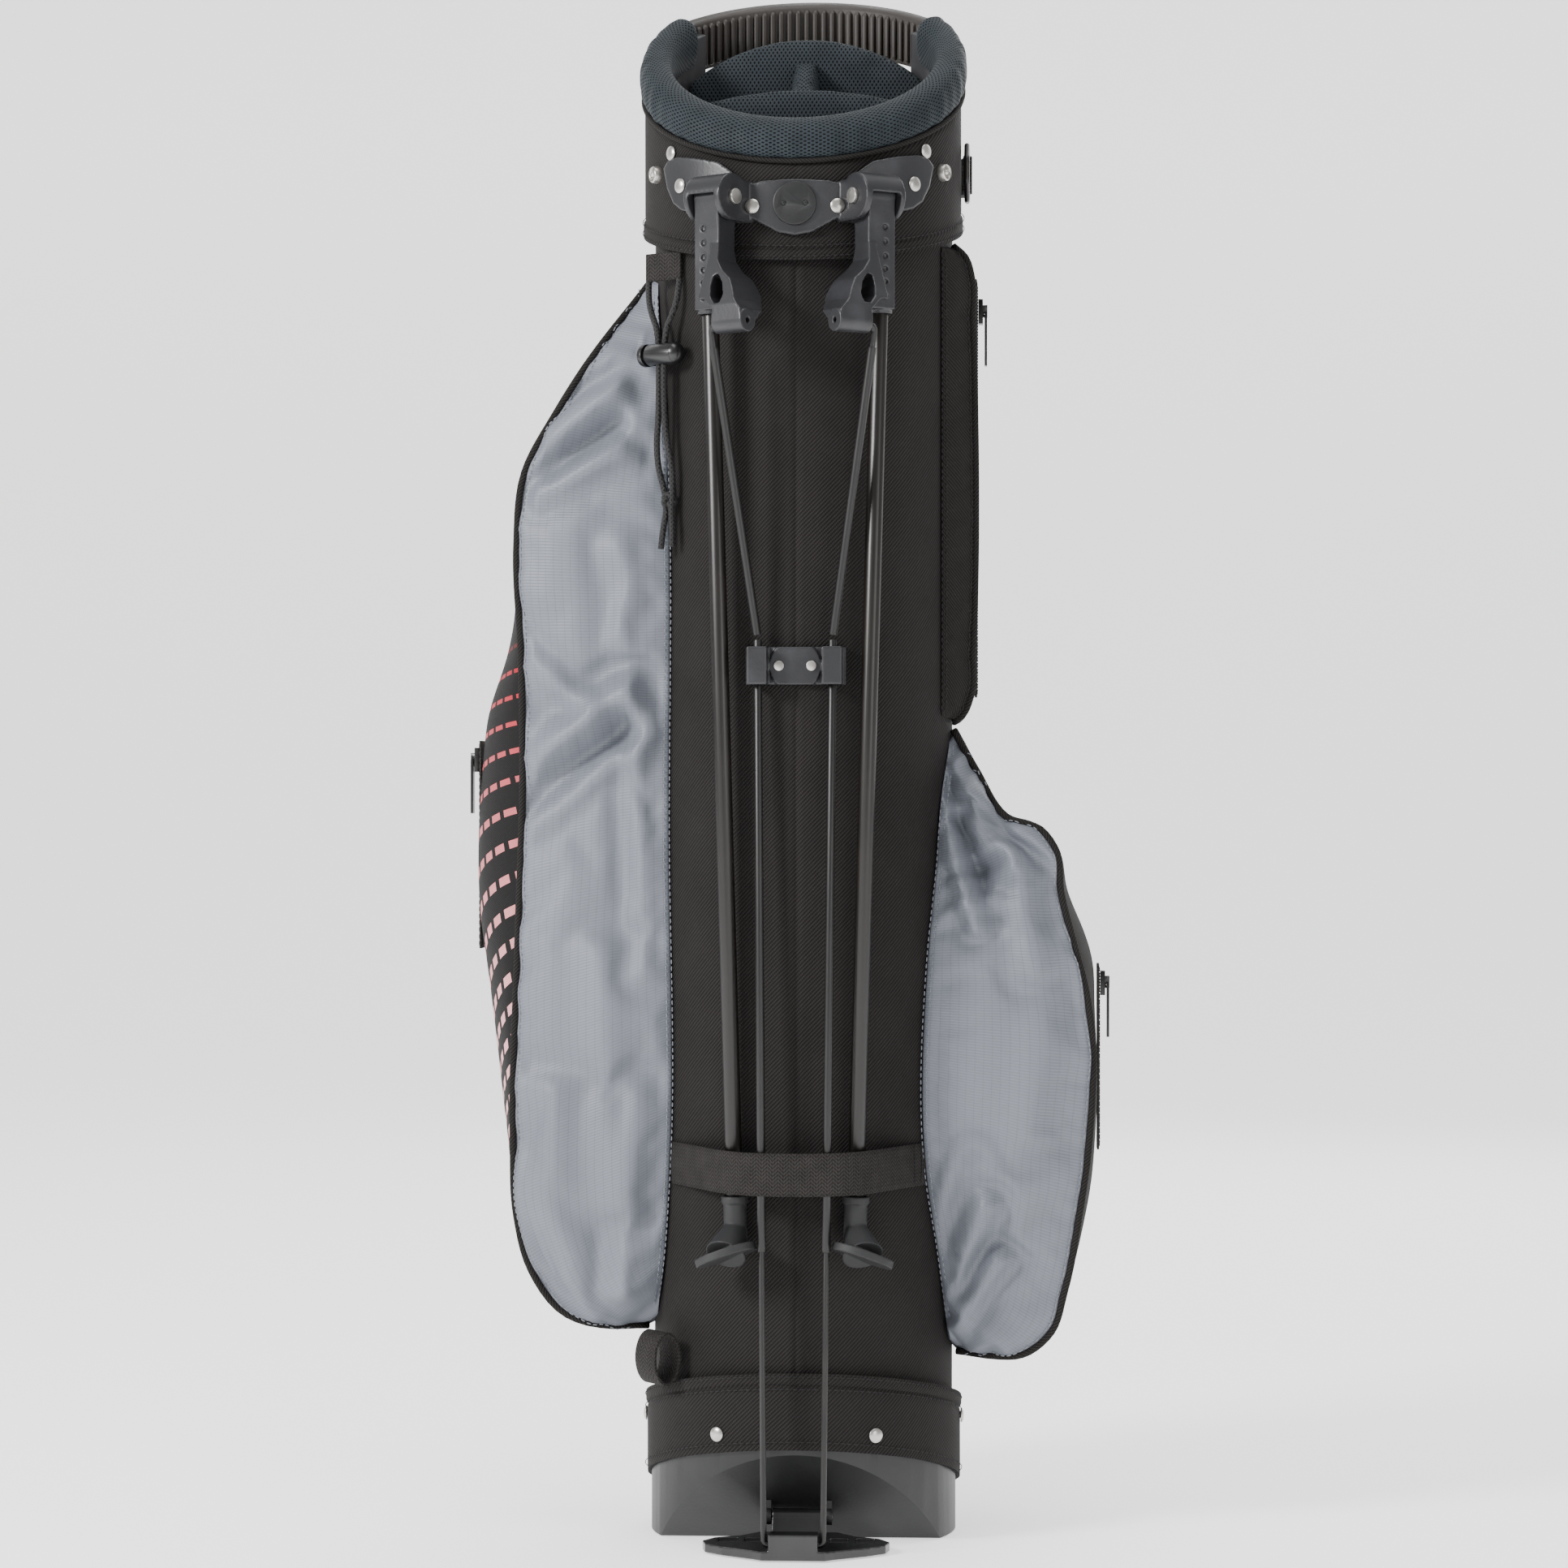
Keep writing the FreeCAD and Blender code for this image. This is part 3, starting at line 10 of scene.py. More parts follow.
import bmesh
import bpy
import numpy as np
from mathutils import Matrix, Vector

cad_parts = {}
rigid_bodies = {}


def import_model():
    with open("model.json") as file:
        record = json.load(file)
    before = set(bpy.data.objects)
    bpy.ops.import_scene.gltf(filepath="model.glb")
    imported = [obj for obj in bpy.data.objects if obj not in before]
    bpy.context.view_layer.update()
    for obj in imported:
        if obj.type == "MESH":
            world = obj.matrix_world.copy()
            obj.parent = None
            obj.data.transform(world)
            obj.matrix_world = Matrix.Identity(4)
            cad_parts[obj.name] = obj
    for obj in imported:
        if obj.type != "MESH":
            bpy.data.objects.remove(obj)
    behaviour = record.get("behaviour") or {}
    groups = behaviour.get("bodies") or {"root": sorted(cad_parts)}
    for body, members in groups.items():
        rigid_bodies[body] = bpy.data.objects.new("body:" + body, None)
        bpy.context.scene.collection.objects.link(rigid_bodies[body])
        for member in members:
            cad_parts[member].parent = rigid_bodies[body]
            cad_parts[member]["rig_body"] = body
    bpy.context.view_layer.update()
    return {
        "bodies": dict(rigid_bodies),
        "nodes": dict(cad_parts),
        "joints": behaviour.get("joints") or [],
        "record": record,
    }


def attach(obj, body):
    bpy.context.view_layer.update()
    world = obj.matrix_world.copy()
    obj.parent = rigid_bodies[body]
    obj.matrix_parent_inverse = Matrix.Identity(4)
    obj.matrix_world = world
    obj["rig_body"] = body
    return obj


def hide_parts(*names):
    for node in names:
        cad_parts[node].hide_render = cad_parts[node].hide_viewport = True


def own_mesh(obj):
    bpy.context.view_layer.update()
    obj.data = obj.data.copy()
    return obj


LOG = logging.getLogger("golf_bag")
MM = 0.001
TUBE_RADIUS = 0.085
MERGE = 0.00001  # corners of a CAD mesh nearer than this, in metres, are one corner
MOULDED = -1  # in place of a bevel's width: the part is remeshed with every edge rounded
Colour = tuple[float, float, float]


class Lay(Enum):
    """How a cloth's threads lie on a piece, and so which two lengths its pattern reads."""

    ROUND = "round the bag and up it"
    FRONT = "across and up the front"
    PIECE = "along the piece's own cloth map"


class Port:
    """One socket of a shader tree, with arithmetic that adds its Math nodes."""

    def __init__(self, look: "Look", socket: bpy.types.NodeSocket) -> None:
        """Hold one socket."""
        self.look = look
        self.socket = socket

    def maths(self, operation: str, *others: object) -> "Port":
        """A Math node on this value and others.

        Args:
            operation: the Math node's operation.
            others: further inputs, ports or numbers.

        Returns:
            The node's result.
        """
        return self.look.value("ShaderNodeMath", {"operation": operation}, self, *others)

    def __add__(self, other: object) -> "Port":
        """This value plus another."""
        return self.maths("ADD", other)

    __radd__ = __add__

    def __mul__(self, other: object) -> "Port":
        """This value times another."""
        return self.maths("MULTIPLY", other)

    __rmul__ = __mul__

    def __sub__(self, other: object) -> "Port":
        """This value less another."""
        return self.maths("SUBTRACT", other)

    def __rsub__(self, other: object) -> "Port":
        """Another value less this one."""
        return self.look.value("ShaderNodeMath", {"operation": "SUBTRACT"}, other, self)

    def __truediv__(self, other: object) -> "Port":
        """This value over another."""
        return self.maths("DIVIDE", other)

    def wave(self, pitch: float) -> "Port":
        """A ripple from 0 to 1 that repeats at each pitch of this length."""
        return (self * (2 * math.pi / pitch)).maths("SINE") * 0.5 + 0.5

    def fraction(self, pitch: float) -> "Port":
        """How far this length is through its present pitch, from 0 to 1."""
        return (self * (1 / pitch)).maths("FRACT")

    def above(self, limit: float) -> "Port":
        """1 where this value is over a limit."""
        return self.maths("GREATER_THAN", limit)

    def ease(self, low: float, high: float) -> "Port":
        """This value between two limits, as a smooth step from 0 to 1."""
        settings = {"interpolation_type": "SMOOTHSTEP"}
        return self.look.value("ShaderNodeMapRange", settings, self, low, high, 0.0, 1.0)


class Look:
    """One material's shader tree."""

    def __init__(self, name: str) -> None:
        """Start an empty material.

        Args:
            name: the material's name.
        """
        self.material = bpy.data.materials.new(name)
        self.material.use_nodes = True
        self.nodes = self.material.node_tree.nodes
        self.links = self.material.node_tree.links
        self.shader = self.nodes["Principled BSDF"]

    def add(self, kind: str, settings: dict[str, object], *inputs: object, **named: object) -> bpy.types.Node:
        """Add a node.

        Args:
            kind: the node's type.
            settings: its own properties, set first.
            inputs: values or ports for its sockets, in order.
            named: values or ports for sockets by name, with _ for a space.

        Returns:
            The node.
        """
        node = self.nodes.new(kind)
        for key, setting in settings.items():
            setattr(node, key, setting)
        for index, given in enumerate(inputs):
            self.feed(node.inputs[index], given)
        for key, given in named.items():
            self.feed(node.inputs[key.replace("_", " ")], given)
        return node

    def value(self, kind: str, settings: dict[str, object], *inputs: object, **named: object) -> Port:
        """The first output of a new node.

        Args:
            kind: the node's type.
            settings: its own properties.
            inputs: values or ports for its sockets, in order.
            named: values or ports for sockets by name.

        Returns:
            A port on the output.
        """
        return Port(self, self.add(kind, settings, *inputs, **named).outputs[0])

    def feed(self, socket: bpy.types.NodeSocket, given: object) -> None:
        """Set or link a socket.

        Args:
            socket: the input to feed.
            given: a port or a plain value.
        """
        if isinstance(given, Port):
            self.links.new(given.socket, socket)
        else:
            socket.default_value = given

    def place(self) -> Port:
        """The surface point in the frame of the bag."""
        return Port(self, self.add("ShaderNodeTexCoord", {}).outputs["Object"])

    def lengths(self, lay: Lay) -> tuple[Port, Port]:
        """Two lengths in metres across and along the cloth.

        Args:
            lay: how the threads lie.

        Returns:
            The length across and the length along.
        """
        if lay is Lay.PIECE:
            split = self.add("ShaderNodeSeparateXYZ", {}, self.value("ShaderNodeUVMap", {"uv_map": "Cloth"}))
            return Port(self, split.outputs[0]), Port(self, split.outputs[1])
        split = self.add("ShaderNodeSeparateXYZ", {}, self.place())
        x, y, z = (Port(self, output) for output in split.outputs)
        if lay is Lay.FRONT:
            return x, z
        return x.maths("ARCTAN2", y * -1.0) * TUBE_RADIUS, z

    def speckle(self, scale: float, detail: float = 2.0) -> Port:
        """Soft noise from 0 to 1 over the surface.

        Args:
            scale: the noise's scale.
            detail: its octaves.

        Returns:
            The noise.
        """
        return self.value("ShaderNodeTexNoise", {}, Vector=self.place(), Scale=scale, Detail=detail)

    def blend(self, factor: object, first: Colour, second: object) -> Port:
        """A colour between two others.

        Args:
            factor: 0 for the first, 1 for the second.
            first: a colour.
            second: a colour or a port.

        Returns:
            The blended colour.
        """
        mix = self.add("ShaderNodeMix", {"data_type": "RGBA"})
        self.feed(mix.inputs[0], factor)
        self.feed(mix.inputs[6], first if isinstance(first, Port) else (*first, 1.0))
        self.feed(mix.inputs[7], second if isinstance(second, Port) else (*second, 1.0))
        return Port(self, mix.outputs[2])

    def relief(self, height: Port, depth: float, strength: float = 1.0) -> None:
        """Bump the surface by a height from 0 to 1 times a depth in metres.

        Args:
            height: the height.
            depth: the depth in metres.
            strength: the bump's strength.
        """
        bump = self.value("ShaderNodeBump", {}, Strength=strength, Distance=depth, Height=height)
        self.links.new(bump.socket, self.shader.inputs["Normal"])

    def dress(self, **sockets: object) -> bpy.types.Material:
        """Set the shader's sockets and return the material.

        Args:
            sockets: values or ports by socket name, with _ for a space.

        Returns:
            The material.
        """
        for name, given in sockets.items():
            self.feed(self.shader.inputs[name.replace("_", " ")], given)
        return self.material


@dataclass(frozen=True)
class Twill:
    """Heavy nylon with a fine diagonal rib, whose crests are painted paler in the colour as a highlight."""

    name: str
    shade: Colour
    light: Colour
    pitch: float
    lay: Lay

    def make(self) -> bpy.types.Material:
        """Make the material.

        Returns:
            The material.
        """
        look = Look(self.name)
        across, along = look.lengths(self.lay)
        rib = (across - along).wave(self.pitch)
        thread = (across + along * 0.6).wave(self.pitch * 0.55)
        weave = rib * 0.75 + thread * 0.25
        dust = look.speckle(38.0, 4.0)
        # Colour: the rib's crests get a painted highlight, mixed with random dust tone.
        tone = weave * 0.72 + dust * 0.28
        look.relief(weave, 0.0005, 0.7)
        return look.dress(Base_Color=look.blend(tone, self.shade, self.light), Roughness=0.66 + dust * 0.2,
                          Sheen_Weight=0.01, Sheen_Roughness=0.5, Specular_IOR_Level=0.1)


@dataclass(frozen=True)
class Ripstop:
    """Light pocket cloth with a horizontal rib and a faint stop grid."""

    name: str
    shade: Colour
    light: Colour

    def make(self) -> bpy.types.Material:
        """Make the material.

        Returns:
            The material.
        """
        look = Look(self.name)
        across, along = look.lengths(Lay.PIECE)
        rib = along.wave(0.0016)
        stop = across.fraction(0.0044).maths("PINGPONG", 0.5).ease(0.0, 0.09)
        cloud = look.speckle(9.0, 3.0)
        tone = rib * 0.3 + cloud * 0.45 + stop * 0.2
        look.relief(rib * 0.8 + stop * 0.3, 0.0003, 0.4)
        return look.dress(Base_Color=look.blend(tone, self.shade, self.light), Roughness=0.42 + cloud * 0.16,
                          Sheen_Weight=0.05, Sheen_Roughness=0.4, Specular_IOR_Level=0.45)


@dataclass(frozen=True)
class DashPrint:
    """Black twill printed with leaning rows of dashes that pale downward."""

    name: str
    cloth: Colour
    deep: Colour
    pale: Colour
    high: float
    low: float

    def make(self) -> bpy.types.Material:
        """Make the material.

        Returns:
            The material.
        """
        look = Look(self.name)
        across, along = look.lengths(Lay.PIECE)
        split = look.add("ShaderNodeSeparateXYZ", {}, look.place())
        height = Port(look, split.outputs[2])
        fade = height.ease(self.low, self.high)
        lean = (1 - fade) * 0.55 + 0.12
        row = along - across * lean
        dash = (across + along * 0.22).fraction(0.0105)
        gap = 1 - (height.ease(self.low - 0.02, self.low) * (1 - height.ease(self.high - 0.03, self.high)))
        thick = 0.4 - fade * 0.24
        within = row.fraction(0.0135).maths("LESS_THAN", thick)
        ink = within * dash.maths("LESS_THAN", 0.62 + fade * 0.12) * (1 - gap)
        rib = (across - along).wave(0.0014)
        colour = look.blend(fade, self.pale, self.deep)
        base = look.blend(rib, tuple(0.7 * c for c in self.cloth), self.cloth)
        look.relief(rib + ink * 0.4, 0.0003, 0.45)
        return look.dress(Base_Color=look.blend(ink, base, colour), Roughness=0.66 - ink * 0.2,
                          Sheen_Weight=0.01, Specular_IOR_Level=0.12)


@dataclass(frozen=True)
class AirMesh:
    """Padded spacer mesh: small diamonds with a pale edge over a dark ground; the pale edge is a painted
    highlight on the raised threads.
    """

    name: str
    shade: Colour
    light: Colour
    lay: Lay
    pitch: float = 0.0024

    def make(self) -> bpy.types.Material:
        """Make the material.

        Returns:
            The material.
        """
        look = Look(self.name)
        across, along = look.lengths(self.lay)
        one = (across + along * 0.62).fraction(self.pitch).maths("PINGPONG", 0.5)
        two = (across - along * 0.62).fraction(self.pitch).maths("PINGPONG", 0.5)
        hole = (one * two * 16.0).ease(0.9, 2.6)
        dust = look.speckle(60.0, 3.0)
        # Colour: the raised edges get a painted highlight, mixed with random dust tone; the holes keep the
        # dark ground.
        tone = (1 - hole) * (0.45 + dust * 0.55)
        look.relief(1 - hole, 0.0008, 0.8)
        return look.dress(Base_Color=look.blend(tone, self.shade, self.light), Roughness=0.62 + hole * 0.25,
                          Sheen_Weight=0.01, Specular_IOR_Level=0.14)


@dataclass(frozen=True)
class Webbing:
    """Herringbone strap webbing, its raised ribs painted paler in the colour as a highlight."""

    name: str
    shade: Colour
    light: Colour

    def make(self) -> bpy.types.Material:
        """Make the material.

        Returns:
            The material.
        """
        look = Look(self.name)
        across, along = look.lengths(Lay.PIECE)
        zigzag = across.fraction(0.006).maths("PINGPONG", 0.5) * 0.006
        rib = (along + zigzag).wave(0.0021)
        cord = across.wave(0.0015)
        dust = look.speckle(120.0)
        height = rib * 0.7 + cord * 0.3
        look.relief(height, 0.0005, 0.7)
        # Colour: the ribs' height is painted in as a highlight, mixed with random dust tone.
        return look.dress(Base_Color=look.blend(height * 0.6 + dust * 0.4, self.shade, self.light),
                          Roughness=0.7 + dust * 0.15, Sheen_Weight=0.01, Specular_IOR_Level=0.12)


@dataclass(frozen=True)
class Braid:
    """Round braided cord, the crests of its strands painted paler in the colour as a highlight."""

    name: str
    shade: Colour
    light: Colour

    def make(self) -> bpy.types.Material:
        """Make the material.

        Returns:
            The material.
        """
        look = Look(self.name)
        split = look.add("ShaderNodeSeparateXYZ", {}, look.place())
        x, y, z = (Port(look, output) for output in split.outputs)
        strand = (z + (x + y) * 0.9).wave(0.0026)
        other = (z - (x - y) * 0.9).wave(0.0026)
        height = strand.maths("MAXIMUM", other)
        look.relief(height, 0.0005, 0.8)
        # Colour: the strands' height is painted in as a highlight.
        return look.dress(Base_Color=look.blend(height, self.shade, self.light), Roughness=0.6 + strand * 0.2,
                          Sheen_Weight=0.04, Specular_IOR_Level=0.3)


@dataclass(frozen=True)
class Moulding:
    """Moulded plastic or rubber with a fine grain, rubbed paler in places."""

    name: str
    shade: Colour
    light: Colour
    rough: float
    grain: float = 900.0
    depth: float = 0.00006
    coat: float = 0.0
    scuff: float = 0.14

    def make(self) -> bpy.types.Material:
        """Make the material.

        Returns:
            The material.
        """
        look = Look(self.name)
        grain = look.speckle(self.grain, 2.0)
        wear = look.speckle(30.0, 5.0)
        look.relief(grain, self.depth, 0.5)
        rubbed = wear.ease(0.5, 0.75) * 0.8 + grain * 0.2
        return look.dress(Base_Color=look.blend(rubbed, self.shade, self.light),
                          Roughness=self.rough + wear * self.scuff, Specular_IOR_Level=0.5,
                          Coat_Weight=self.coat, Coat_Roughness=0.12)


@dataclass(frozen=True)
class Metal:
    """Plated or oxidised metal with fine brushing."""

    name: str
    shade: Colour
    light: Colour
    rough: float

    def make(self) -> bpy.types.Material:
        """Make the material.

        Returns:
            The material.
        """
        look = Look(self.name)
        haze = look.speckle(220.0, 4.0)
        look.relief(haze, 0.00004, 0.4)
        return look.dress(Base_Color=look.blend(haze, self.shade, self.light), Metallic=0.96 - haze * 0.1,
                          Roughness=self.rough + haze * 0.14)


class Wardrobe:
    """Every finish of the bag, each made once."""

    FINISHES = (
        # In the twill, spacer mesh, webbing and braid finishes the second, paler colour is a painted
        # highlight on the threads' crests.
        Twill("body_twill", (0.001, 0.0009, 0.0009), (0.032, 0.029, 0.0275), 0.0024, Lay.ROUND),
        Twill("panel_twill", (0.0012, 0.0011, 0.001), (0.03, 0.0275, 0.026), 0.0022, Lay.PIECE),
        Ripstop("pocket_ripstop", (0.082, 0.089, 0.106), (0.2, 0.215, 0.25)),
        DashPrint("dash_print", (0.012, 0.011, 0.011), (0.4, 0.008, 0.022), (0.8, 0.42, 0.43), 0.512, 0.215),
        AirMesh("rim_mesh", (0.0004, 0.0006, 0.0008), (0.03, 0.039, 0.046), Lay.PIECE),
        AirMesh("divider_mesh", (0.0005, 0.0007, 0.0009), (0.03, 0.038, 0.045), Lay.PIECE),
        Webbing("strap_webbing", (0.001, 0.0009, 0.0009), (0.042, 0.038, 0.036)),
        Braid("cord_braid", (0.0015, 0.0015, 0.0015), (0.024, 0.023, 0.023)),
        Moulding("moulded_black", (0.014, 0.0142, 0.0162), (0.036, 0.0365, 0.041), 0.32, 700.0, 0.00012),
        Moulding("base_moulding", (0.005, 0.0051, 0.0055), (0.013, 0.0132, 0.014), 0.4, 500.0, 0.00015),
        Moulding("grip_plastic", (0.016, 0.012, 0.0095), (0.04, 0.032, 0.026), 0.5, 420.0, 0.0001),
        Moulding("leg_gloss", (0.004, 0.0028, 0.002), (0.008, 0.0056, 0.004), 0.34, 300.0, 0.000002,
                 scuff=0.02),
        Moulding("rod_sleeve", (0.003, 0.0026, 0.0024), (0.007, 0.006, 0.0055), 0.38, 500.0, 0.000004,
                 scuff=0.03),
        Moulding("plate_gloss", (0.004, 0.004, 0.0045), (0.012, 0.0122, 0.013), 0.24, 600.0, 0.00004, 0.4),
        Moulding("boot_rubber", (0.009, 0.0092, 0.01), (0.021, 0.0212, 0.0225), 0.55, 350.0, 0.00012),
        Moulding("lock_plastic", (0.004, 0.004, 0.0045), (0.013, 0.0135, 0.014), 0.26, 500.0, 0.00004, 0.2),
        Moulding("badge_plastic", (0.0035, 0.0037, 0.0042), (0.008, 0.0085, 0.0095), 0.42),
        Moulding("foam_grey", (0.015, 0.015, 0.015), (0.04, 0.04, 0.04), 0.85, 200.0, 0.0006),
        Metal("satin_nickel", (0.42, 0.4, 0.37), (0.62, 0.6, 0.57), 0.24),
        Moulding("black_wire", (0.004, 0.0034, 0.003), (0.01, 0.0085, 0.0075), 0.3, 400.0, 0.000004,
                 scuff=0.05),
        Twill("lining", (0.003, 0.003, 0.0032), (0.011, 0.011, 0.0115), 0.0015, Lay.FRONT),
        Twill("stitch_thread", (0.012, 0.012, 0.012), (0.05, 0.05, 0.05), 0.0008, Lay.FRONT),
        Twill("grey_thread", (0.15, 0.16, 0.185), (0.34, 0.36, 0.4), 0.0008, Lay.FRONT),
    )

    def __init__(self) -> None:
        """Make every finish."""
        self.looks = {finish.name: finish.make() for finish in self.FINISHES}

    def __getitem__(self, name: str) -> bpy.types.Material:
        """A finish's material."""
        return self.looks[name]


class Workshop:
    """Makes meshes into named pieces with a finish and a body."""

    def __init__(self, frame: dict, looks: Wardrobe) -> None:
        """Keep the frame's nodes and the finishes."""
        self.frame = frame
        self.looks = looks

    def mesh(self, name: str, points: Sequence, faces: Sequence, finish: str,
             smooth: bool = True) -> bpy.types.Object:
        """A new mesh object.

        Args:
            name: the piece's name.
            points: its corners in metres.
            faces: corner indices of each face.
            finish: the finish's name.
            smooth: whether its faces are shaded smooth.

        Returns:
            The object, linked to the scene.
        """
        data = bpy.data.meshes.new(name)
        data.from_pydata([tuple(point) for point in points], [], faces)
        data.materials.append(self.looks[finish])
        data.polygons.foreach_set("use_smooth", [smooth] * len(data.polygons))
        piece = bpy.data.objects.new(name, data)
        bpy.context.scene.collection.objects.link(piece)
        return piece

    def loft(self, name: str, rows: np.ndarray, finish: str, closed: bool = False,
             capped: bool = False) -> bpy.types.Object:
        """A skin over rows of points, with a cloth map in metres.

        Args:
            name: the piece's name.
            rows: points as an array of rows by columns by 3.
            finish: the finish's name.
            closed: whether each row joins up into a ring.
            capped: whether the first and last rows are filled.

        Returns:
            The object.
        """
        count, width = rows.shape[:2]
        ring = np.concatenate([rows, rows[:, :1]], axis=1) if closed else rows
        across = np.concatenate([[0], np.cumsum(np.linalg.norm(np.diff(ring, axis=1), axis=2).mean(axis=0))])
        along = np.concatenate([[0], np.cumsum(np.linalg.norm(np.diff(rows, axis=0), axis=2).mean(axis=1))])
        faces, corners = [], []
        for i in range(count - 1):
            for j in range(ring.shape[1] - 1):
                k = (j + 1) % width
                faces.append((i * width + j, i * width + k, (i + 1) * width + k, (i + 1) * width + j))
                corners += [(across[j], along[i]), (across[j + 1], along[i]),
                            (across[j + 1], along[i + 1]), (across[j], along[i + 1])]
        if capped:
            for i, order in ((0, -1), (count - 1, 1)):
                faces.append([i * width + j for j in range(width)][::order])
                corners += [(across[j], along[i]) for j in range(width)][::order]
        piece = self.mesh(name, rows.reshape(-1, 3), faces, finish)
        piece.data.uv_layers.new(name="Cloth").data.foreach_set("uv", np.array(corners, float).ravel())
        if closed and capped:
            self.face_out(piece)
        return piece

    @staticmethod
    def face_out(piece: bpy.types.Object) -> None:
        """Turn a closed mesh's faces outward.

        Args:
            piece: the closed mesh, changed in place.
        """
        work = bmesh.new()
        work.from_mesh(piece.data)
        bmesh.ops.recalc_face_normals(work, faces=work.faces)
        work.to_mesh(piece.data)
        work.free()

    def settle(self, piece: bpy.types.Object) -> bpy.types.Object:
        """Apply a piece's modifiers to its mesh.

        Args:
            piece: the piece, changed in place.

        Returns:
            The same piece.
        """
        depsgraph = bpy.context.evaluated_depsgraph_get()
        result = bpy.data.meshes.new_from_object(piece.evaluated_get(depsgraph))
        piece.modifiers.clear()
        piece.data = result
        return piece

    def finish(self, piece: bpy.types.Object, body: str, slot: str, *stands_for: str) -> bpy.types.Object:
        """Ride on a body and stand for CAD nodes.

        Args:
            piece: the piece.
            body: the body that carries it.
            slot: the record's slot; not used.
            stands_for: the CAD nodes that it stands for.

        Returns:
            The same piece.
        """
        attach(piece, body)
        if stands_for:
            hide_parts(*stands_for)
        LOG.info("%s rides on %s", piece.name, body)
        return piece

    def copy_node(self, node: str, finish: str, flatten: bool) -> bpy.types.Object:
        """A copy of a CAD node's mesh with its corners merged, ready to be worked on.

        Args:
            node: the CAD node.
            finish: the finish's name.
            flatten: whether triangles in one plane become one face.

        Returns:
            The copy, linked to the scene.
        """
        data = self.frame["nodes"][node].data.copy()
        data.materials.clear()
        data.materials.append(self.looks[finish])
        piece = bpy.data.objects.new(f"{node}_shape", data)
        bpy.context.scene.collection.objects.link(piece)
        work = bmesh.new()
        work.from_mesh(data)
        bmesh.ops.remove_doubles(work, verts=work.verts, dist=MERGE)
        if flatten:
            bmesh.ops.dissolve_limit(work, angle_limit=math.radians(0.05), verts=work.verts, edges=work.edges)
        work.to_mesh(data)
        work.free()
        data.polygons.foreach_set("use_smooth", [True] * len(data.polygons))
        return piece

    def refine(self, node: str, finish: str, slot: str, edge: float = 0.0006,
               mapped: bool = False) -> bpy.types.Object:
        """A copy of a CAD node with softened edges, which stands for it.

        Args:
            node: the CAD node.
            finish: the finish's name.
            slot: the record's slot.
            edge: the bevel's width in metres.
            mapped: whether the copy needs a cloth map.

        Returns:
            The finished piece.
        """
        piece = self.copy_node(node, finish, flatten=True)
        if edge:
            bevel = piece.modifiers.new("soft_edges", "BEVEL")
            bevel.width = edge
            bevel.segments = 2
            bevel.limit_method = "ANGLE"
            bevel.angle_limit = math.radians(32)
            bevel.harden_normals = True
        self.settle(piece)
        piece.data.set_sharp_from_angle(angle=math.radians(38))
        if mapped:
            self.map_box(piece)
        return self.finish(piece, self.frame["nodes"][node]["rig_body"], slot, node)

    def mould(self, node: str, finish: str, slot: str, grain: float) -> bpy.types.Object:
        """A copy of a CAD node with every edge rounded as a moulding's is.

        Args:
            node: the CAD node.
            finish: the finish's name.
            slot: the record's slot.
            grain: the remeshing size in metres.

        Returns:
            The finished piece.
        """
        piece = self.copy_node(node, finish, flatten=False)
        remesh = piece.modifiers.new("remesh", "REMESH")
        remesh.mode = "VOXEL"
        remesh.voxel_size = grain
        relax = piece.modifiers.new("relax", "SMOOTH")
        relax.iterations = 3
        relax.factor = 0.5
        self.settle(piece)
        piece.data.materials.clear()
        piece.data.materials.append(self.looks[finish])
        piece.data.polygons.foreach_set("use_smooth", [True] * len(piece.data.polygons))
        return self.finish(piece, self.frame["nodes"][node]["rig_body"], slot, node)

    @staticmethod
    def map_box(piece: bpy.types.Object) -> None:
        """A cloth map in metres, across and up each face.

        Args:
            piece: the piece, changed in place.
        """
        layer = piece.data.uv_layers.new(name="Cloth")
        for face in piece.data.polygons:
            flat = abs(face.normal.z) > 0.7
            for corner in face.loop_indices:
                point = piece.data.vertices[piece.data.loops[corner].vertex_index].co
                side = point.y if abs(face.normal.x) > abs(face.normal.y) else point.x
                layer.data[corner].uv = (point.x, point.y) if flat else (side, point.z)


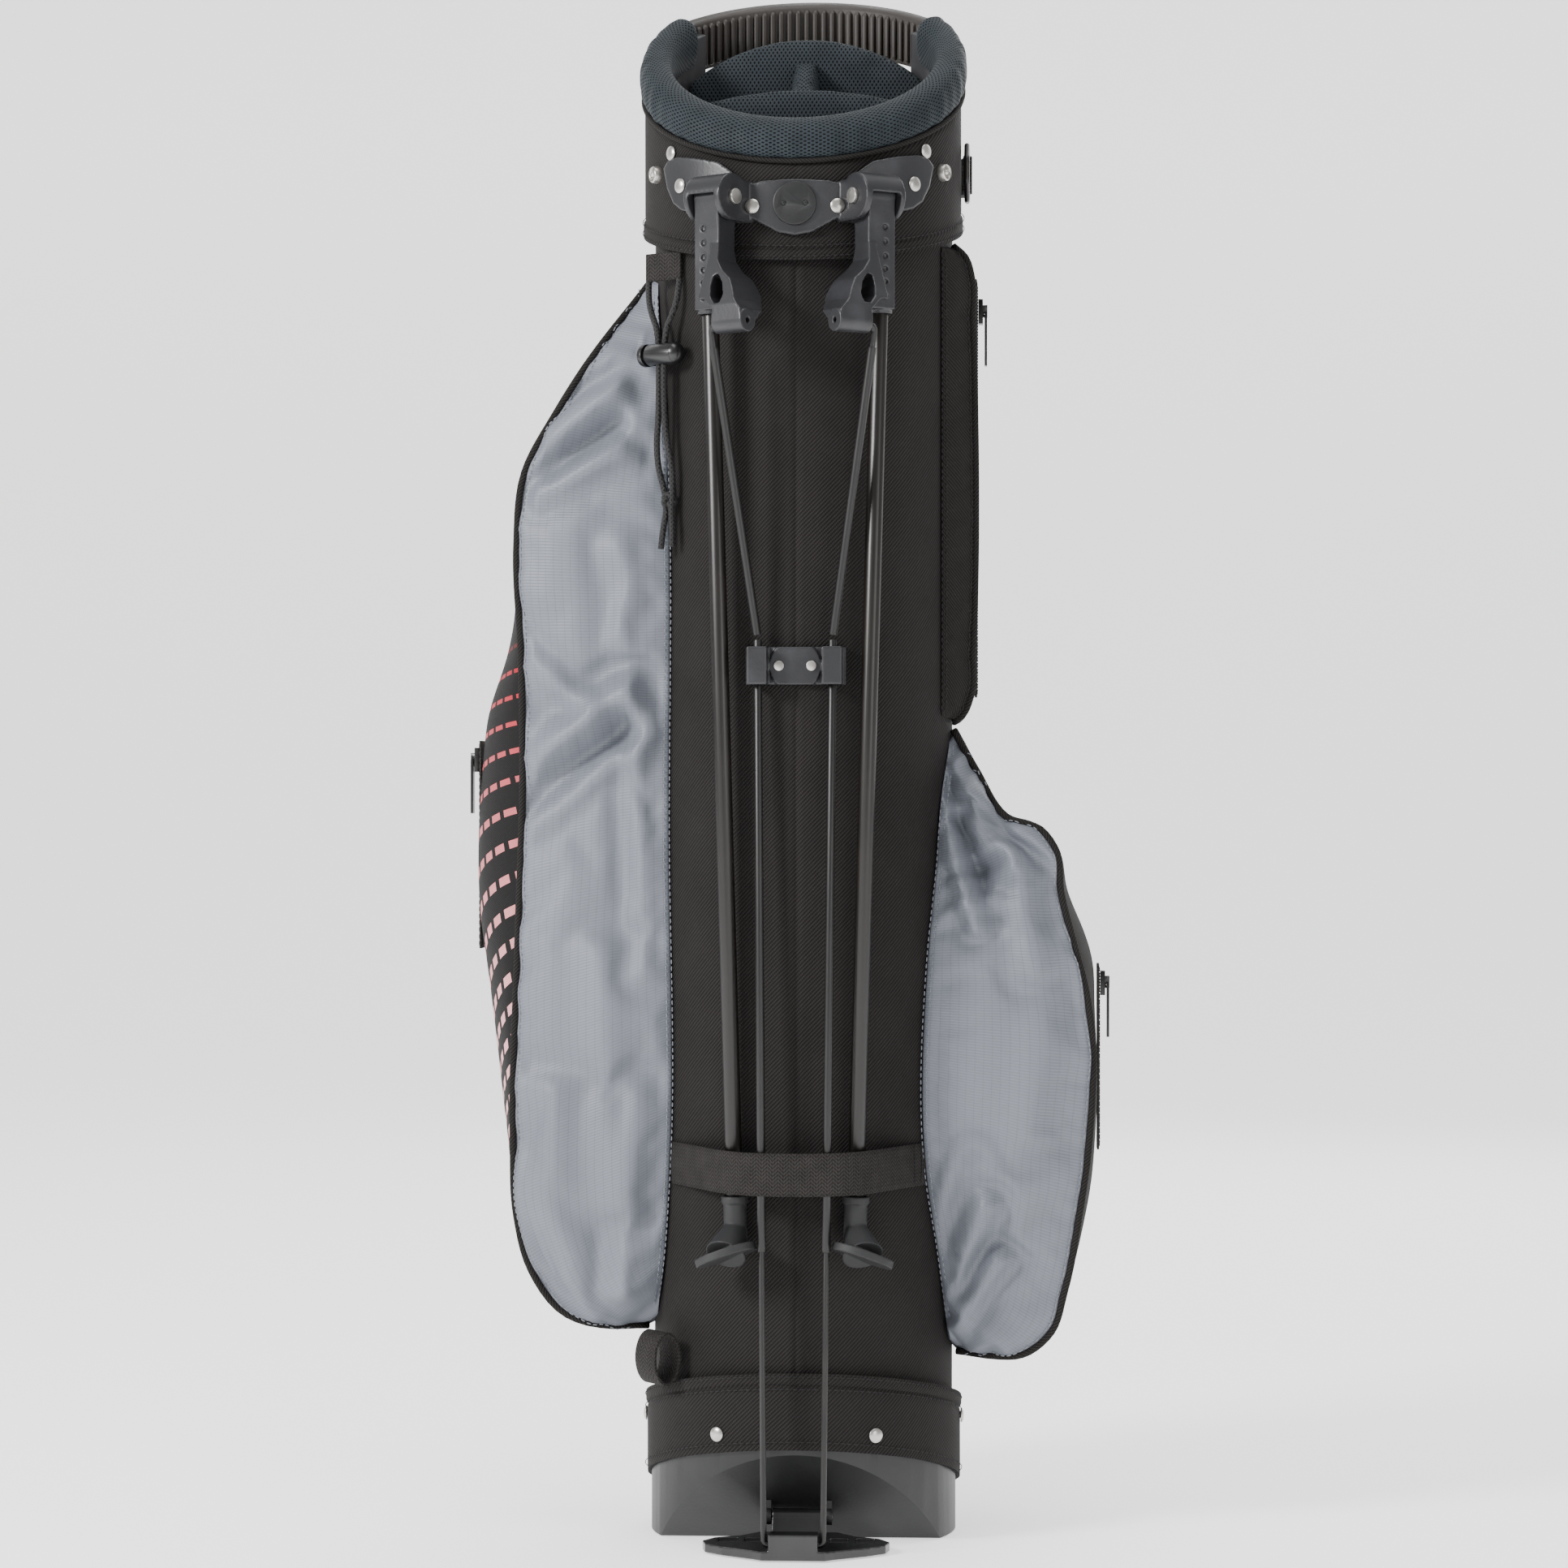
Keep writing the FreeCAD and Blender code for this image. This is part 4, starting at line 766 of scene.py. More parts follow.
class Repeater:
    """A Geometry Nodes tree that repeats one small shape along a path or at points."""

    def __init__(self, shop: Workshop, along_path: bool) -> None:
        """Make the tree.

        Args:
            shop: the workshop.
            along_path: whether copies follow a path or sit at points.
        """
        self.shop = shop
        title = "Repeat on path" if along_path else "Repeat at points"
        self.tree = bpy.data.node_groups.new(title, "GeometryNodeTree")
        self.sockets: dict[str, str] = {}
        self.build(along_path)

    def socket(self, name: str, kind: str) -> None:
        """Add a named input and keep its identifier.

        Args:
            name: the input's name.
            kind: the socket's type.
        """
        self.sockets[name] = self.tree.interface.new_socket(name, in_out="INPUT", socket_type=kind).identifier

    def add(self, kind: str, **settings: object) -> bpy.types.Node:
        """Add a node with its settings.

        Args:
            kind: the node's type.
            settings: its own properties.

        Returns:
            The node.
        """
        node = self.tree.nodes.new(kind)
        for key, setting in settings.items():
            setattr(node, key, setting)
        return node

    def build(self, along_path: bool) -> None:
        """Lay out the tree.

        Args:
            along_path: whether copies follow a path.
        """
        link = self.tree.links.new
        self.socket("Path", "NodeSocketGeometry")
        self.socket("Shape", "NodeSocketObject")
        self.socket("Spacing", "NodeSocketFloat")
        self.socket("Finish", "NodeSocketMaterial")
        self.tree.interface.new_socket("Pieces", in_out="OUTPUT", socket_type="NodeSocketGeometry")
        given = self.add("NodeGroupInput")
        facing = self.add("GeometryNodeInputNamedAttribute", data_type="FLOAT_VECTOR")
        facing.inputs["Name"].default_value = "facing"
        upright = self.add("FunctionNodeAlignRotationToVector", axis="Z")
        shape = self.add("GeometryNodeObjectInfo")
        place = self.add("GeometryNodeInstanceOnPoints")
        real = self.add("GeometryNodeRealizeInstances")
        paint = self.add("GeometryNodeSetMaterial")
        result = self.add("NodeGroupOutput")
        link(facing.outputs[0], upright.inputs["Vector"])
        if along_path:
            curve = self.add("GeometryNodeMeshToCurve")
            spaced = self.add("GeometryNodeResampleCurve", mode="LENGTH")
            lie = self.add("FunctionNodeAlignRotationToVector", axis="X")
            upright.pivot_axis = "X"
            link(given.outputs["Path"], curve.inputs["Mesh"])
            link(curve.outputs["Curve"], spaced.inputs["Curve"])
            link(given.outputs["Spacing"], spaced.inputs["Length"])
            link(self.add("GeometryNodeInputTangent").outputs[0], lie.inputs["Vector"])
            link(lie.outputs["Rotation"], upright.inputs["Rotation"])
            link(spaced.outputs["Curve"], place.inputs["Points"])
        else:
            link(given.outputs["Path"], place.inputs["Points"])
        link(given.outputs["Shape"], shape.inputs["Object"])
        link(shape.outputs["Geometry"], place.inputs["Instance"])
        link(upright.outputs["Rotation"], place.inputs["Rotation"])
        link(place.outputs["Instances"], real.inputs["Geometry"])
        link(real.outputs["Geometry"], paint.inputs["Geometry"])
        link(given.outputs["Finish"], paint.inputs["Material"])
        link(paint.outputs["Geometry"], result.inputs[0])

    def run(self, name: str, lines: Sequence[tuple[np.ndarray, np.ndarray]], shape: bpy.types.Object,
            spacing: float, finish: str) -> bpy.types.Object:
        """Repeat a shape.

        Args:
            name: the new piece's name.
            lines: each line's points and outward directions.
            shape: the small object, along +X with +Z outward.
            spacing: the distance between copies in metres.
            finish: the finish's name.

        Returns:
            One plain mesh object of all the copies.
        """
        points, edges, facings = [], [], []
        for path, outward in lines:
            first = len(points)
            points += [tuple(p) for p in path]
            facings += [tuple(o) for o in outward]
            edges += [(first + i, first + i + 1) for i in range(len(path) - 1)]
        data = bpy.data.meshes.new(name)
        data.from_pydata(points, edges, [])
        facing = data.attributes.new("facing", "FLOAT_VECTOR", "POINT")
        facing.data.foreach_set("vector", np.array(facings, float).ravel())
        piece = bpy.data.objects.new(name, data)
        bpy.context.scene.collection.objects.link(piece)
        modifier = piece.modifiers.new("repeat", "NODES")
        modifier.node_group = self.tree
        modifier[self.sockets["Shape"]] = shape
        modifier[self.sockets["Spacing"]] = spacing
        modifier[self.sockets["Finish"]] = self.shop.looks[finish]
        self.shop.settle(piece)
        piece.data.polygons.foreach_set("use_smooth", [True] * len(piece.data.polygons))
        return piece


def ease_line(keys: Sequence[tuple[float, float]], at: np.ndarray) -> np.ndarray:
    """A smooth curve through (place, value) keys, read at places.

    Args:
        keys: the curve's (place, value) keys.
        at: the places to read.

    Returns:
        The values there.
    """
    places, values = np.array(sorted(keys)).T
    slopes = np.gradient(values, places)
    index = np.clip(np.searchsorted(places, at) - 1, 0, len(places) - 2)
    span = places[index + 1] - places[index]
    t = np.clip((at - places[index]) / span, 0, 1)
    start, end = values[index], values[index + 1]
    low, high = slopes[index] * span, slopes[index + 1] * span
    curve = (2 * t**3 - 3 * t**2 + 1) * start + (t**3 - 2 * t**2 + t) * low
    return curve + (3 * t**2 - 2 * t**3) * end + (t**3 - t**2) * high


def around(angle: np.ndarray, radius: float) -> tuple[np.ndarray, np.ndarray]:
    """x and y on a circle; the angle is from -Y towards -X, in radians.

    Args:
        angle: the angle or angles.
        radius: the circle's radius.

    Returns:
        x and y.
    """
    return -np.sin(angle) * radius, -np.cos(angle) * radius


def tube_along(path: np.ndarray, radius: float, sides: int = 10) -> np.ndarray:
    """Rings round a line of points, without twist.

    Args:
        path: the line, as points by 3.
        radius: the rings' radius.
        sides: points in each ring.

    Returns:
        The rings, as an array of rings by sides by 3.
    """
    tangent = np.gradient(path, axis=0)
    tangent /= np.linalg.norm(tangent, axis=1)[:, None]
    side = np.cross(tangent[0], (0.31, 0.22, 0.92))
    rings = []
    turns = np.linspace(0, 2 * math.pi, sides, endpoint=False)
    for point, along in zip(path, tangent):
        side = side - along * np.dot(side, along)
        side /= np.linalg.norm(side)
        other = np.cross(along, side)
        rings.append(point + radius * (np.outer(np.cos(turns), side) + np.outer(np.sin(turns), other)))
    return np.array(rings)


class Studio:
    """The pale floor, the soft lights and the camera."""

    distance: float = 2.4
    height: float = 0.425
    turn: float = 3.0
    lens: float = 96.1
    shift: float = -0.0125

    def build(self) -> None:
        """Set up the whole studio."""
        self.camera()
        self.floor()
        self.light("key", (-1.9, -1.5, 1.5), 0.6, 84)
        self.light("fill", (1.7, -2.1, 0.8), 1.0, 14)
        self.light("top", (0.2, -0.3, 2.6), 1.6, 30)
        self.light("rear", (0.6, 2.2, 1.6), 1.6, 26)
        world = bpy.data.worlds.new("studio")
        bpy.context.scene.world = world
        world.use_nodes = True
        world.node_tree.nodes["Background"].inputs[0].default_value = (1, 1, 1, 1)
        world.node_tree.nodes["Background"].inputs[1].default_value = 0.55

    def camera(self) -> None:
        """A level camera in front of the legs."""
        data = bpy.data.cameras.new("camera")
        data.lens = self.lens
        data.sensor_width = 36.0
        data.shift_x = self.shift
        data.dof.use_dof = False
        camera = bpy.data.objects.new("camera", data)
        turn = math.radians(self.turn)
        camera.location = (self.distance * math.sin(turn), -self.distance * math.cos(turn), self.height)
        camera.rotation_euler = (math.pi / 2, 0, turn)
        bpy.context.scene.collection.objects.link(camera)
        bpy.context.scene.camera = camera

    @staticmethod
    def light(name: str, place: Sequence[float], size: float, power: float) -> None:
        """A square soft light aimed at the bag's middle.

        Args:
            name: the light's name.
            place: where it stands, in metres.
            size: its square's side.
            power: its power in watts.
        """
        data = bpy.data.lights.new(name, "AREA")
        data.size = size
        data.energy = power
        lamp = bpy.data.objects.new(name, data)
        lamp.location = place
        lamp.rotation_euler = (Vector(place) - Vector((0, 0, 0.5))).to_track_quat("Z", "Y").to_euler()
        bpy.context.scene.collection.objects.link(lamp)

    @staticmethod
    def floor() -> None:
        """A pale floor that sweeps up behind the bag."""
        bend = [(math.sin(t) * 1.5, 1.5 - math.cos(t) * 1.5) for t in np.linspace(0, math.pi / 2, 16)]
        line = [(-6.0, 0.0)] + [(3.0 + y, z) for y, z in bend] + [(4.5, 7.0)]
        points = [(x, y, z - 0.0005) for y, z in line for x in (-9.0, 9.0)]
        faces = [(2 * i, 2 * i + 1, 2 * i + 3, 2 * i + 2) for i in range(len(line) - 1)]
        data = bpy.data.meshes.new("floor")
        data.from_pydata(points, [], faces)
        data.polygons.foreach_set("use_smooth", [True] * len(faces))
        look = Look("pale_floor")
        data.materials.append(look.dress(Base_Color=(0.93, 0.93, 0.93, 1), Roughness=0.9,
                                        Emission_Color=(1, 1, 1, 1), Emission_Strength=0.85))
        floor = bpy.data.objects.new("floor", data)
        bpy.context.scene.collection.objects.link(floor)


@dataclass(frozen=True)
class Crease:
    """A soft ridge or hollow pressed into cloth between two points of the front view, in millimetres."""

    start: tuple[float, float]
    end: tuple[float, float]
    width: float
    depth: float


def smooth_path(keys: Sequence[tuple[float, float]], count: int) -> np.ndarray:
    """Evenly spaced points on a smooth line through keys.

    Args:
        keys: the line's (x, z) points.
        count: how many points to return.

    Returns:
        The points, as an array of count by 2.
    """
    keys = np.array(keys, float)
    run = np.concatenate([[0], np.cumsum(np.linalg.norm(np.diff(keys, axis=0), axis=1))])
    fine = np.linspace(0, run[-1], 600)
    line = np.stack([ease_line(list(zip(run, keys[:, k])), fine) for k in (0, 1)], axis=1)
    length = np.concatenate([[0], np.cumsum(np.linalg.norm(np.diff(line, axis=0), axis=1))])
    even = np.linspace(0, length[-1], count)
    return np.stack([np.interp(even, length, line[:, k]) for k in (0, 1)], axis=1)


class Simulator:
    """Blender's cloth, run on one piece at a time with a limit on how far it may move."""

    frames: int = 22

    def drape(self, piece: bpy.types.Object, held: np.ndarray, limit: float, pressure: float = 0.0,
              slack: float = 0.0, gravity: float = 0.0, stiffness: float = 8.0) -> None:
        """Let a piece settle.

        Args:
            piece: the mesh to settle, changed in place.
            held: each corner's hold, from 0 free to 1 pinned.
            limit: the furthest that a corner may move, in metres.
            pressure: the air pressure inside.
            slack: how much larger the cloth is cut than its outline.
            gravity: gravity's share.
            stiffness: the cloth's tension stiffness.
        """
        scene = bpy.context.scene
        rest = self.corners(piece.data)
        group = piece.vertex_groups.new(name="held")
        for level in np.unique(np.round(held, 2)):
            if level > 0:
                corners = np.nonzero(np.round(held, 2) == level)[0]
                group.add([int(corner) for corner in corners], float(level), "REPLACE")
        modifier = piece.modifiers.new("cloth", "CLOTH")
        cloth = modifier.settings
        cloth.quality = 6
        cloth.mass = 0.15
        cloth.tension_stiffness = stiffness
        cloth.compression_stiffness = stiffness
        cloth.shear_stiffness = stiffness * 0.5
        cloth.bending_stiffness = 0.25
        cloth.shrink_min = -slack
        cloth.vertex_group_mass = "held"
        cloth.use_pressure = pressure > 0
        cloth.uniform_pressure_force = pressure
        cloth.effector_weights.gravity = gravity
        modifier.collision_settings.use_collision = False
        modifier.point_cache.frame_start = 1
        modifier.point_cache.frame_end = self.frames
        for frame in range(1, self.frames + 1):
            scene.frame_set(frame)
        depsgraph = bpy.context.evaluated_depsgraph_get()
        moved = self.corners(piece.evaluated_get(depsgraph).data)
        piece.modifiers.clear()
        piece.vertex_groups.clear()
        scene.frame_set(1)
        step = moved - rest
        far = np.linalg.norm(step, axis=1)[:, None] + 1e-9
        step *= limit * np.tanh(far / limit) / far
        piece.data.vertices.foreach_set("co", (rest + step * (1 - held[:, None])).ravel())
        piece.data.update()

    @staticmethod
    def corners(data: bpy.types.Mesh) -> np.ndarray:
        """A mesh's corners as an array.

        Args:
            data: the mesh.

        Returns:
            The corners, as an array of corners by 3.
        """
        flat = np.zeros(len(data.vertices) * 3)
        data.vertices.foreach_get("co", flat)
        return flat.reshape(-1, 3)


@dataclass
class Pocket:
    """A sewn pocket that wraps the tube's side: two gussets, an outer face, piping and a zip."""

    name: str
    node: str
    side: float
    piping: Sequence[tuple[float, float]]
    seam: Sequence[tuple[float, float]]
    swell: Sequence[tuple[float, float]]
    front_depth: float
    back_depth: float
    back_seam: float
    gusset: str
    face: str
    slot: str
    zip_at: tuple[float, float, float, float]
    creases: Sequence[Crease] = ()
    slack: float = 0.05
    rows: int = 104
    gusset_columns: int = 22
    face_columns: int = 26
    open_over: float = 40.0
    puff: float = 4.0

    def build(self, shop: Workshop, cloth: Simulator, stitcher: "Stitcher") -> None:
        """Make the pocket, its piping and stitches.

        Args:
            shop: the workshop.
            cloth: the cloth simulator.
            stitcher: sews its stitches.
        """
        grid = self.grid()
        piece = shop.loft(self.name, grid * MM, self.gusset, closed=True, capped=True)
        self.paint(piece, shop)
        held = self.holds(grid.shape)
        cloth.drape(piece, held, 0.008, pressure=0.8, slack=self.slack)
        placed = Simulator.corners(piece.data).reshape(grid.shape)
        shop.face_out(piece)
        smooth = piece.modifiers.new("smooth", "SUBSURF")
        smooth.levels = smooth.render_levels = 1
        shop.settle(piece)
        shop.finish(piece, "bag", self.slot, self.node)
        first, last = self.gusset_columns, self.gusset_columns + self.face_columns
        edges = [placed[:, first], placed[:, last]]
        cords = [shop.loft(f"{self.name}_piping_{k}", tube_along(edge, 0.0021), "panel_twill", closed=True,
                           capped=True) for k, edge in enumerate(edges)]
        for part in cords:
            shop.finish(part, "bag", "body_nylon")
        self.stitch(shop, placed, stitcher)

    def grid(self) -> np.ndarray:
        """The pocket's corners in millimetres, row by row from top to bottom.

        Returns:
            The corners, as an array of rows by columns by 3.
        """
        pipe = smooth_path(self.piping, self.rows)
        seam = smooth_path(self.seam, self.rows)
        turn = np.gradient(pipe, axis=0)
        normal = np.stack([-turn[:, 1], turn[:, 0]], axis=1)
        normal /= np.linalg.norm(normal, axis=1)[:, None]
        swell = ease_line(self.swell, pipe[:, 1]).clip(0)
        opened = np.clip((pipe[:, 0] - 84) / self.open_over, 0, 1)
        opened = opened * opened * (3 - 2 * opened)
        rows = []
        for i in range(self.rows):
            radius = TUBE_RADIUS / MM + 0.6
            near = np.array([seam[i, 0], -math.sqrt(radius**2 - seam[i, 0]**2), seam[i, 1]])
            far = np.array([self.back_seam, math.sqrt(radius**2 - self.back_seam**2), seam[i, 1]])
            depth = -13 + (self.front_depth + 13) * opened[i]
            rear = 28 + (self.back_depth - 28) * opened[i]
            front = np.array([pipe[i, 0], depth, pipe[i, 1]])
            back = np.array([pipe[i, 0] - 2 * opened[i], rear, pipe[i, 1]])
            out = np.array([normal[i, 0], 0, normal[i, 1]])
            along = np.linspace(0, 1, self.gusset_columns, endpoint=False)[:, None]
            rise = np.sin(math.pi * along) * self.puff * opened[i]
            first = near + (front - near) * along - rise * np.array([0, 1, 0])
            across = np.linspace(0, 1, self.face_columns, endpoint=False)[:, None]
            middle = front + (back - front) * across + np.sin(math.pi * across)**0.7 * swell[i] * out
            third = back + (far - back) * along + rise * np.array([0, 1, 0])
            start = math.atan2(far[0], -far[1])
            end = math.atan2(near[0], -near[1])
            turns = np.linspace(start, end, 8, endpoint=False)
            inner = np.stack([84 * np.sin(turns), -84 * np.cos(turns), np.full(8, seam[i, 1])], axis=1)
            rows.append(np.concatenate([first, middle, third, inner]))
        grid = np.array(rows)
        columns = self.gusset_columns
        for crease in self.creases:
            self.press(grid[:, 1:columns], crease)
        grid[:, :, 0] *= self.side
        return grid

    @staticmethod
    def press(part: np.ndarray, crease: Crease) -> None:
        """Push a crease into the front gusset's corners.

        Args:
            part: the gusset's corners, changed in place.
            crease: the crease.
        """
        start, end = np.array(crease.start), np.array(crease.end)
        run = end - start
        flat = part[:, :, [0, 2]] - start
        along = (flat @ run) / (run @ run)
        foot = np.clip(along, 0, 1)[..., None] * run
        away = np.linalg.norm(flat - foot, axis=2)
        fade = np.sin(np.linspace(0, math.pi, part.shape[1]))**0.5
        ridge = np.exp(-(away / crease.width)**2)
        valley = np.exp(-((away - 2.1 * crease.width) / crease.width)**2)
        part[:, :, 1] -= 1.5 * crease.depth * (ridge - 0.45 * valley) * fade

    def holds(self, shape: tuple[int, int, int]) -> np.ndarray:
        """How firmly each corner is held: seams and the tube side fully, the face nearly.

        Args:
            shape: the grid's shape.

        Returns:
            Each corner's hold, from 0 free to 1 pinned.
        """
        held = np.zeros(shape[:2])
        first, last = self.gusset_columns, self.gusset_columns + self.face_columns
        held[:, last + self.gusset_columns:] = 1
        held[:, :2] = 1
        held[:, [first, last]] = 1
        held[:, first + 1:last] = 0.9
        held[[0, -1]] = 1
        return held.ravel()

    def paint(self, piece: bpy.types.Object, shop: Workshop) -> None:
        """Give the outer face its own cloth.

        Args:
            piece: the pocket.
            shop: the workshop.
        """
        piece.data.materials.append(shop.looks[self.face])
        width = 2 * self.gusset_columns + self.face_columns + 8
        for face in piece.data.polygons:
            column = face.index % width
            inside = self.gusset_columns <= column < self.gusset_columns + self.face_columns
            if inside and face.index < width * (self.rows - 1):
                face.material_index = 1

    def stitch(self, shop: Workshop, placed: np.ndarray, stitcher: "Stitcher") -> None:
        """Two rows beside the seam and one beside each piping.

        Args:
            shop: the workshop.
            placed: the settled corners in rows.
            stitcher: sews the rows.
        """
        first, last = self.gusset_columns, self.gusset_columns + self.face_columns
        lines = []
        for low, share in ((0, 0.45), (0, 1.6), (first, 1.2), (last, 1.4)):
            away = 1 if low in (0, last) else -1
            here, there = placed[2:-2, low], placed[2:-2, low + away]
            gap = np.linalg.norm(there - here, axis=1)[:, None] + 1e-9
            path = here + (there - here) / gap * 0.0028 * share
            out = path - np.array([0, 0.012, 0]) * [1, 1, 0]
            out[:, 2] = 0
            out /= np.linalg.norm(out, axis=1)[:, None]
            lift = np.array([0.0, -1.0 if low <= first else 1.0, 0.0])
            lines.append((path + lift * 0.0007, np.tile(lift, (len(path), 1)) + out * 0.2))
        thread = "grey_thread" if self.gusset == "pocket_ripstop" else "stitch_thread"
        stitcher.sew(f"{self.name}_stitches", lines, thread, self.slot)


class Stitcher:
    """Sews rows of thread with one repeating tree."""

    def __init__(self, shop: Workshop) -> None:
        """Make the trees and the small shapes.

        Args:
            shop: the workshop.
        """
        self.shop = shop
        self.tree = Repeater(shop, True)
        self.points = Repeater(shop, False)
        self.stitch = self.grain("stitch_shape", 0.0013, 0.00032, 0.00025)
        self.tooth = self.grain("tooth_shape", 0.0006, 0.0011, 0.0006)

    def grain(self, name: str, half: float, width: float, height: float) -> bpy.types.Object:
        """A small rounded bar along X.

        Args:
            name: the shape's name.
            half: half its length in metres.
            width: its half width.
            height: its half height.

        Returns:
            The shape, out of the scene.
        """
        turns = np.linspace(0, 2 * math.pi, 6, endpoint=False)
        ring = [(math.cos(turn) * width, math.sin(turn) * height) for turn in turns]
        ends = ((-half, 0.4), (-half * 0.6, 1), (half * 0.6, 1), (half, 0.4))
        rows = [[(x, y * share, z * share) for y, z in ring] for x, share in ends]
        return self.hide(self.shop.loft(name, np.array(rows), "stitch_thread", closed=True, capped=True))

    @staticmethod
    def hide(shape: bpy.types.Object) -> bpy.types.Object:
        """Take a pattern shape out of the scene while its mesh stays.

        Args:
            shape: the pattern shape.

        Returns:
            The same shape.
        """
        for collection in list(shape.users_collection):
            collection.objects.unlink(shape)
        return shape

    def sew(self, name: str, lines: Sequence[tuple[np.ndarray, np.ndarray]], thread: str, slot: str,
            pitch: float = 0.0038, body: str = "bag") -> bpy.types.Object:
        """Rows of stitches along lines, as one piece.

        Args:
            name: the piece's name.
            lines: each line's points and outward directions.
            thread: the thread's finish.
            slot: the record's slot.
            pitch: the distance between stitches in metres.
            body: the body that carries them.

        Returns:
            The stitches.
        """
        piece = self.tree.run(name, lines, self.stitch, pitch, thread)
        return self.shop.finish(piece, body, slot)


@dataclass
class BagShell:
    """The tube's cloth, the collar and the base band; lengths in millimetres."""

    shop: Workshop
    stitcher: Stitcher
    tube_radius: float = 85.05
    collar_radius: float = 90.6
    band_radius: float = 89.6

    def sleeve(self, name: str, low: Callable, high: Callable, outer: Callable, inner: float, rows: int,
               columns: int = 180) -> bpy.types.Object:
        """A closed cloth sleeve round the tube.

        Args:
            name: the piece's name.
            low: the lower edge's height at an angle, in millimetres.
            high: the upper edge's height at an angle.
            outer: the radius at an angle and a share of the height.
            inner: the lining's radius.
            rows: rows of corners up its outside.
            columns: columns of corners round it.

        Returns:
            The object, with the lining on its inside.
        """
        turns = np.linspace(0, 2 * math.pi, columns, endpoint=False)
        y = -np.cos(turns) * 88
        bottom, top = low(turns, y), high(turns, y)
        rings = []
        for share in np.linspace(0, 1, rows):
            radius = outer(turns, share, bottom + (top - bottom) * share)
            x_, y_ = around(turns, 1)
            rings.append(np.stack([x_ * radius, y_ * radius, bottom + (top - bottom) * share], axis=1))
        for share in np.linspace(1, 0, max(4, rows // 4)):
            x_, y_ = around(turns, inner)
            rings.append(np.stack([x_, y_, bottom + (top - bottom) * share], axis=1))
        rings.append(rings[0])
        piece = self.shop.loft(name, np.array(rings) * MM, "body_twill", closed=True)
        piece.data.materials.append(self.shop.looks["lining"])
        for face in piece.data.polygons:
            face.material_index = int(face.index >= columns * rows)
        work = bmesh.new()
        work.from_mesh(piece.data)
        bmesh.ops.remove_doubles(work, verts=work.verts, dist=0.00002)
        bmesh.ops.recalc_face_normals(work, faces=work.faces)
        work.to_mesh(piece.data)
        work.free()
        piece.data.set_sharp_from_angle(angle=math.radians(50))
        return piece

    @staticmethod
    def centre_seam(turns: np.ndarray, radius: float) -> np.ndarray:
        """The lapped seam down the front: a groove with a soft ridge each side.

        Args:
            turns: the angles round the bag.
            radius: the cloth's radius.

        Returns:
            What the seam adds to the radius.
        """
        away = (turns + math.pi) % (2 * math.pi) - math.pi
        side = away * radius
        return -0.9 * np.exp(-(side / 0.9)**2) + 0.55 * np.exp(-((np.abs(side) - 3.2) / 1.8)**2)

    @staticmethod
    def ripple(turns: np.ndarray, height: np.ndarray, depth: float, seed: float) -> np.ndarray:
        """Slow waves in a sleeve of cloth.

        Args:
            turns: the angles round the bag.
            height: the height at each angle.
            depth: the waves' depth.
            seed: sets where the waves fall.

        Returns:
            What the waves add to the radius.
        """
        wave = np.sin(5 * turns + seed + height / 190) + 0.6 * np.sin(11 * turns - height / 120 + 2.1 * seed)
        return depth * (wave + 0.5 * np.sin(17 * turns + height / 47 + seed))

    def tube(self) -> None:
        """The tube's cloth with its centre seam."""
        def outer(turns: np.ndarray, share: float, height: np.ndarray) -> np.ndarray:
            """The cloth's radius."""
            return self.tube_radius + self.centre_seam(turns, 85) + self.ripple(turns, height, 0.16, 0.4)

        def low(turns: np.ndarray, y: np.ndarray) -> np.ndarray:
            """The lower edge: flat behind, and cut by the base's sloping front."""
            return np.maximum(12.4, -34.2 - 1.036 * y)
        piece = self.sleeve("tube_cloth", low, lambda t, y: 752 + 0.4 * y, outer, 82.1, 60, 220)
        self.shop.finish(piece, "bag", "body_nylon", "body_tube")

    def collar(self) -> None:
        """The collar with a rolled hem and its stitch rows."""
        def high(turns: np.ndarray, y: np.ndarray) -> np.ndarray:
            """The top edge, cut down behind for the hand."""
            top = 819.6 + 0.568 * y * 91 / 88
            behind = np.abs(np.abs((turns + 2 * math.pi) % (2 * math.pi) - math.pi)) < math.radians(53.4)
            return np.where(behind, np.minimum(top, 826), top)

        def outer(turns: np.ndarray, share: float, height: np.ndarray) -> np.ndarray:
            """The cloth's radius, thick at the hem."""
            level = share * 86
            hem = 0.9 * (1 / (1 + np.exp((level - 9) / 0.6))) - 0.7 * np.exp(-((level - 10.2) / 1.1)**2)
            top = -1.6 * np.clip((level - 80) / 6, 0, 1)**2
            seam = 0.5 * self.centre_seam(turns, 91)
            return self.collar_radius + hem + top + seam + self.ripple(turns, height, 0.12, 2.0)

        def low(turns: np.ndarray, y: np.ndarray) -> np.ndarray:
            """The sloping lower edge."""
            return 740.5 + 0.289 * y * 91 / 88
        piece = self.sleeve("collar_cloth", low, high, outer, 85.4, 54, 220)
        self.shop.finish(piece, "bag", "body_nylon", "collar_cover")
        self.rows("collar_stitches", 92.0, [(742.6, 0.289), (748.6, 0.289)])

    def band(self) -> None:
        """The base band with a hem at its top edge."""
        def outer(turns: np.ndarray, share: float, height: np.ndarray) -> np.ndarray:
            """The cloth's radius."""
            level = (1 - share) * 46
            hem = 0.8 * (1 / (1 + np.exp((level - 6) / 0.5))) - 0.8 * np.exp(-((level - 7.2) / 0.9)**2)
            foot = -1.2 * np.clip((share * 46 - 40) / -40 - 0.9, 0, 1)
            seam = 0.4 * self.centre_seam(turns, 90)
            return self.band_radius + hem + foot + seam + self.ripple(turns, height, 0.15, 4.1)

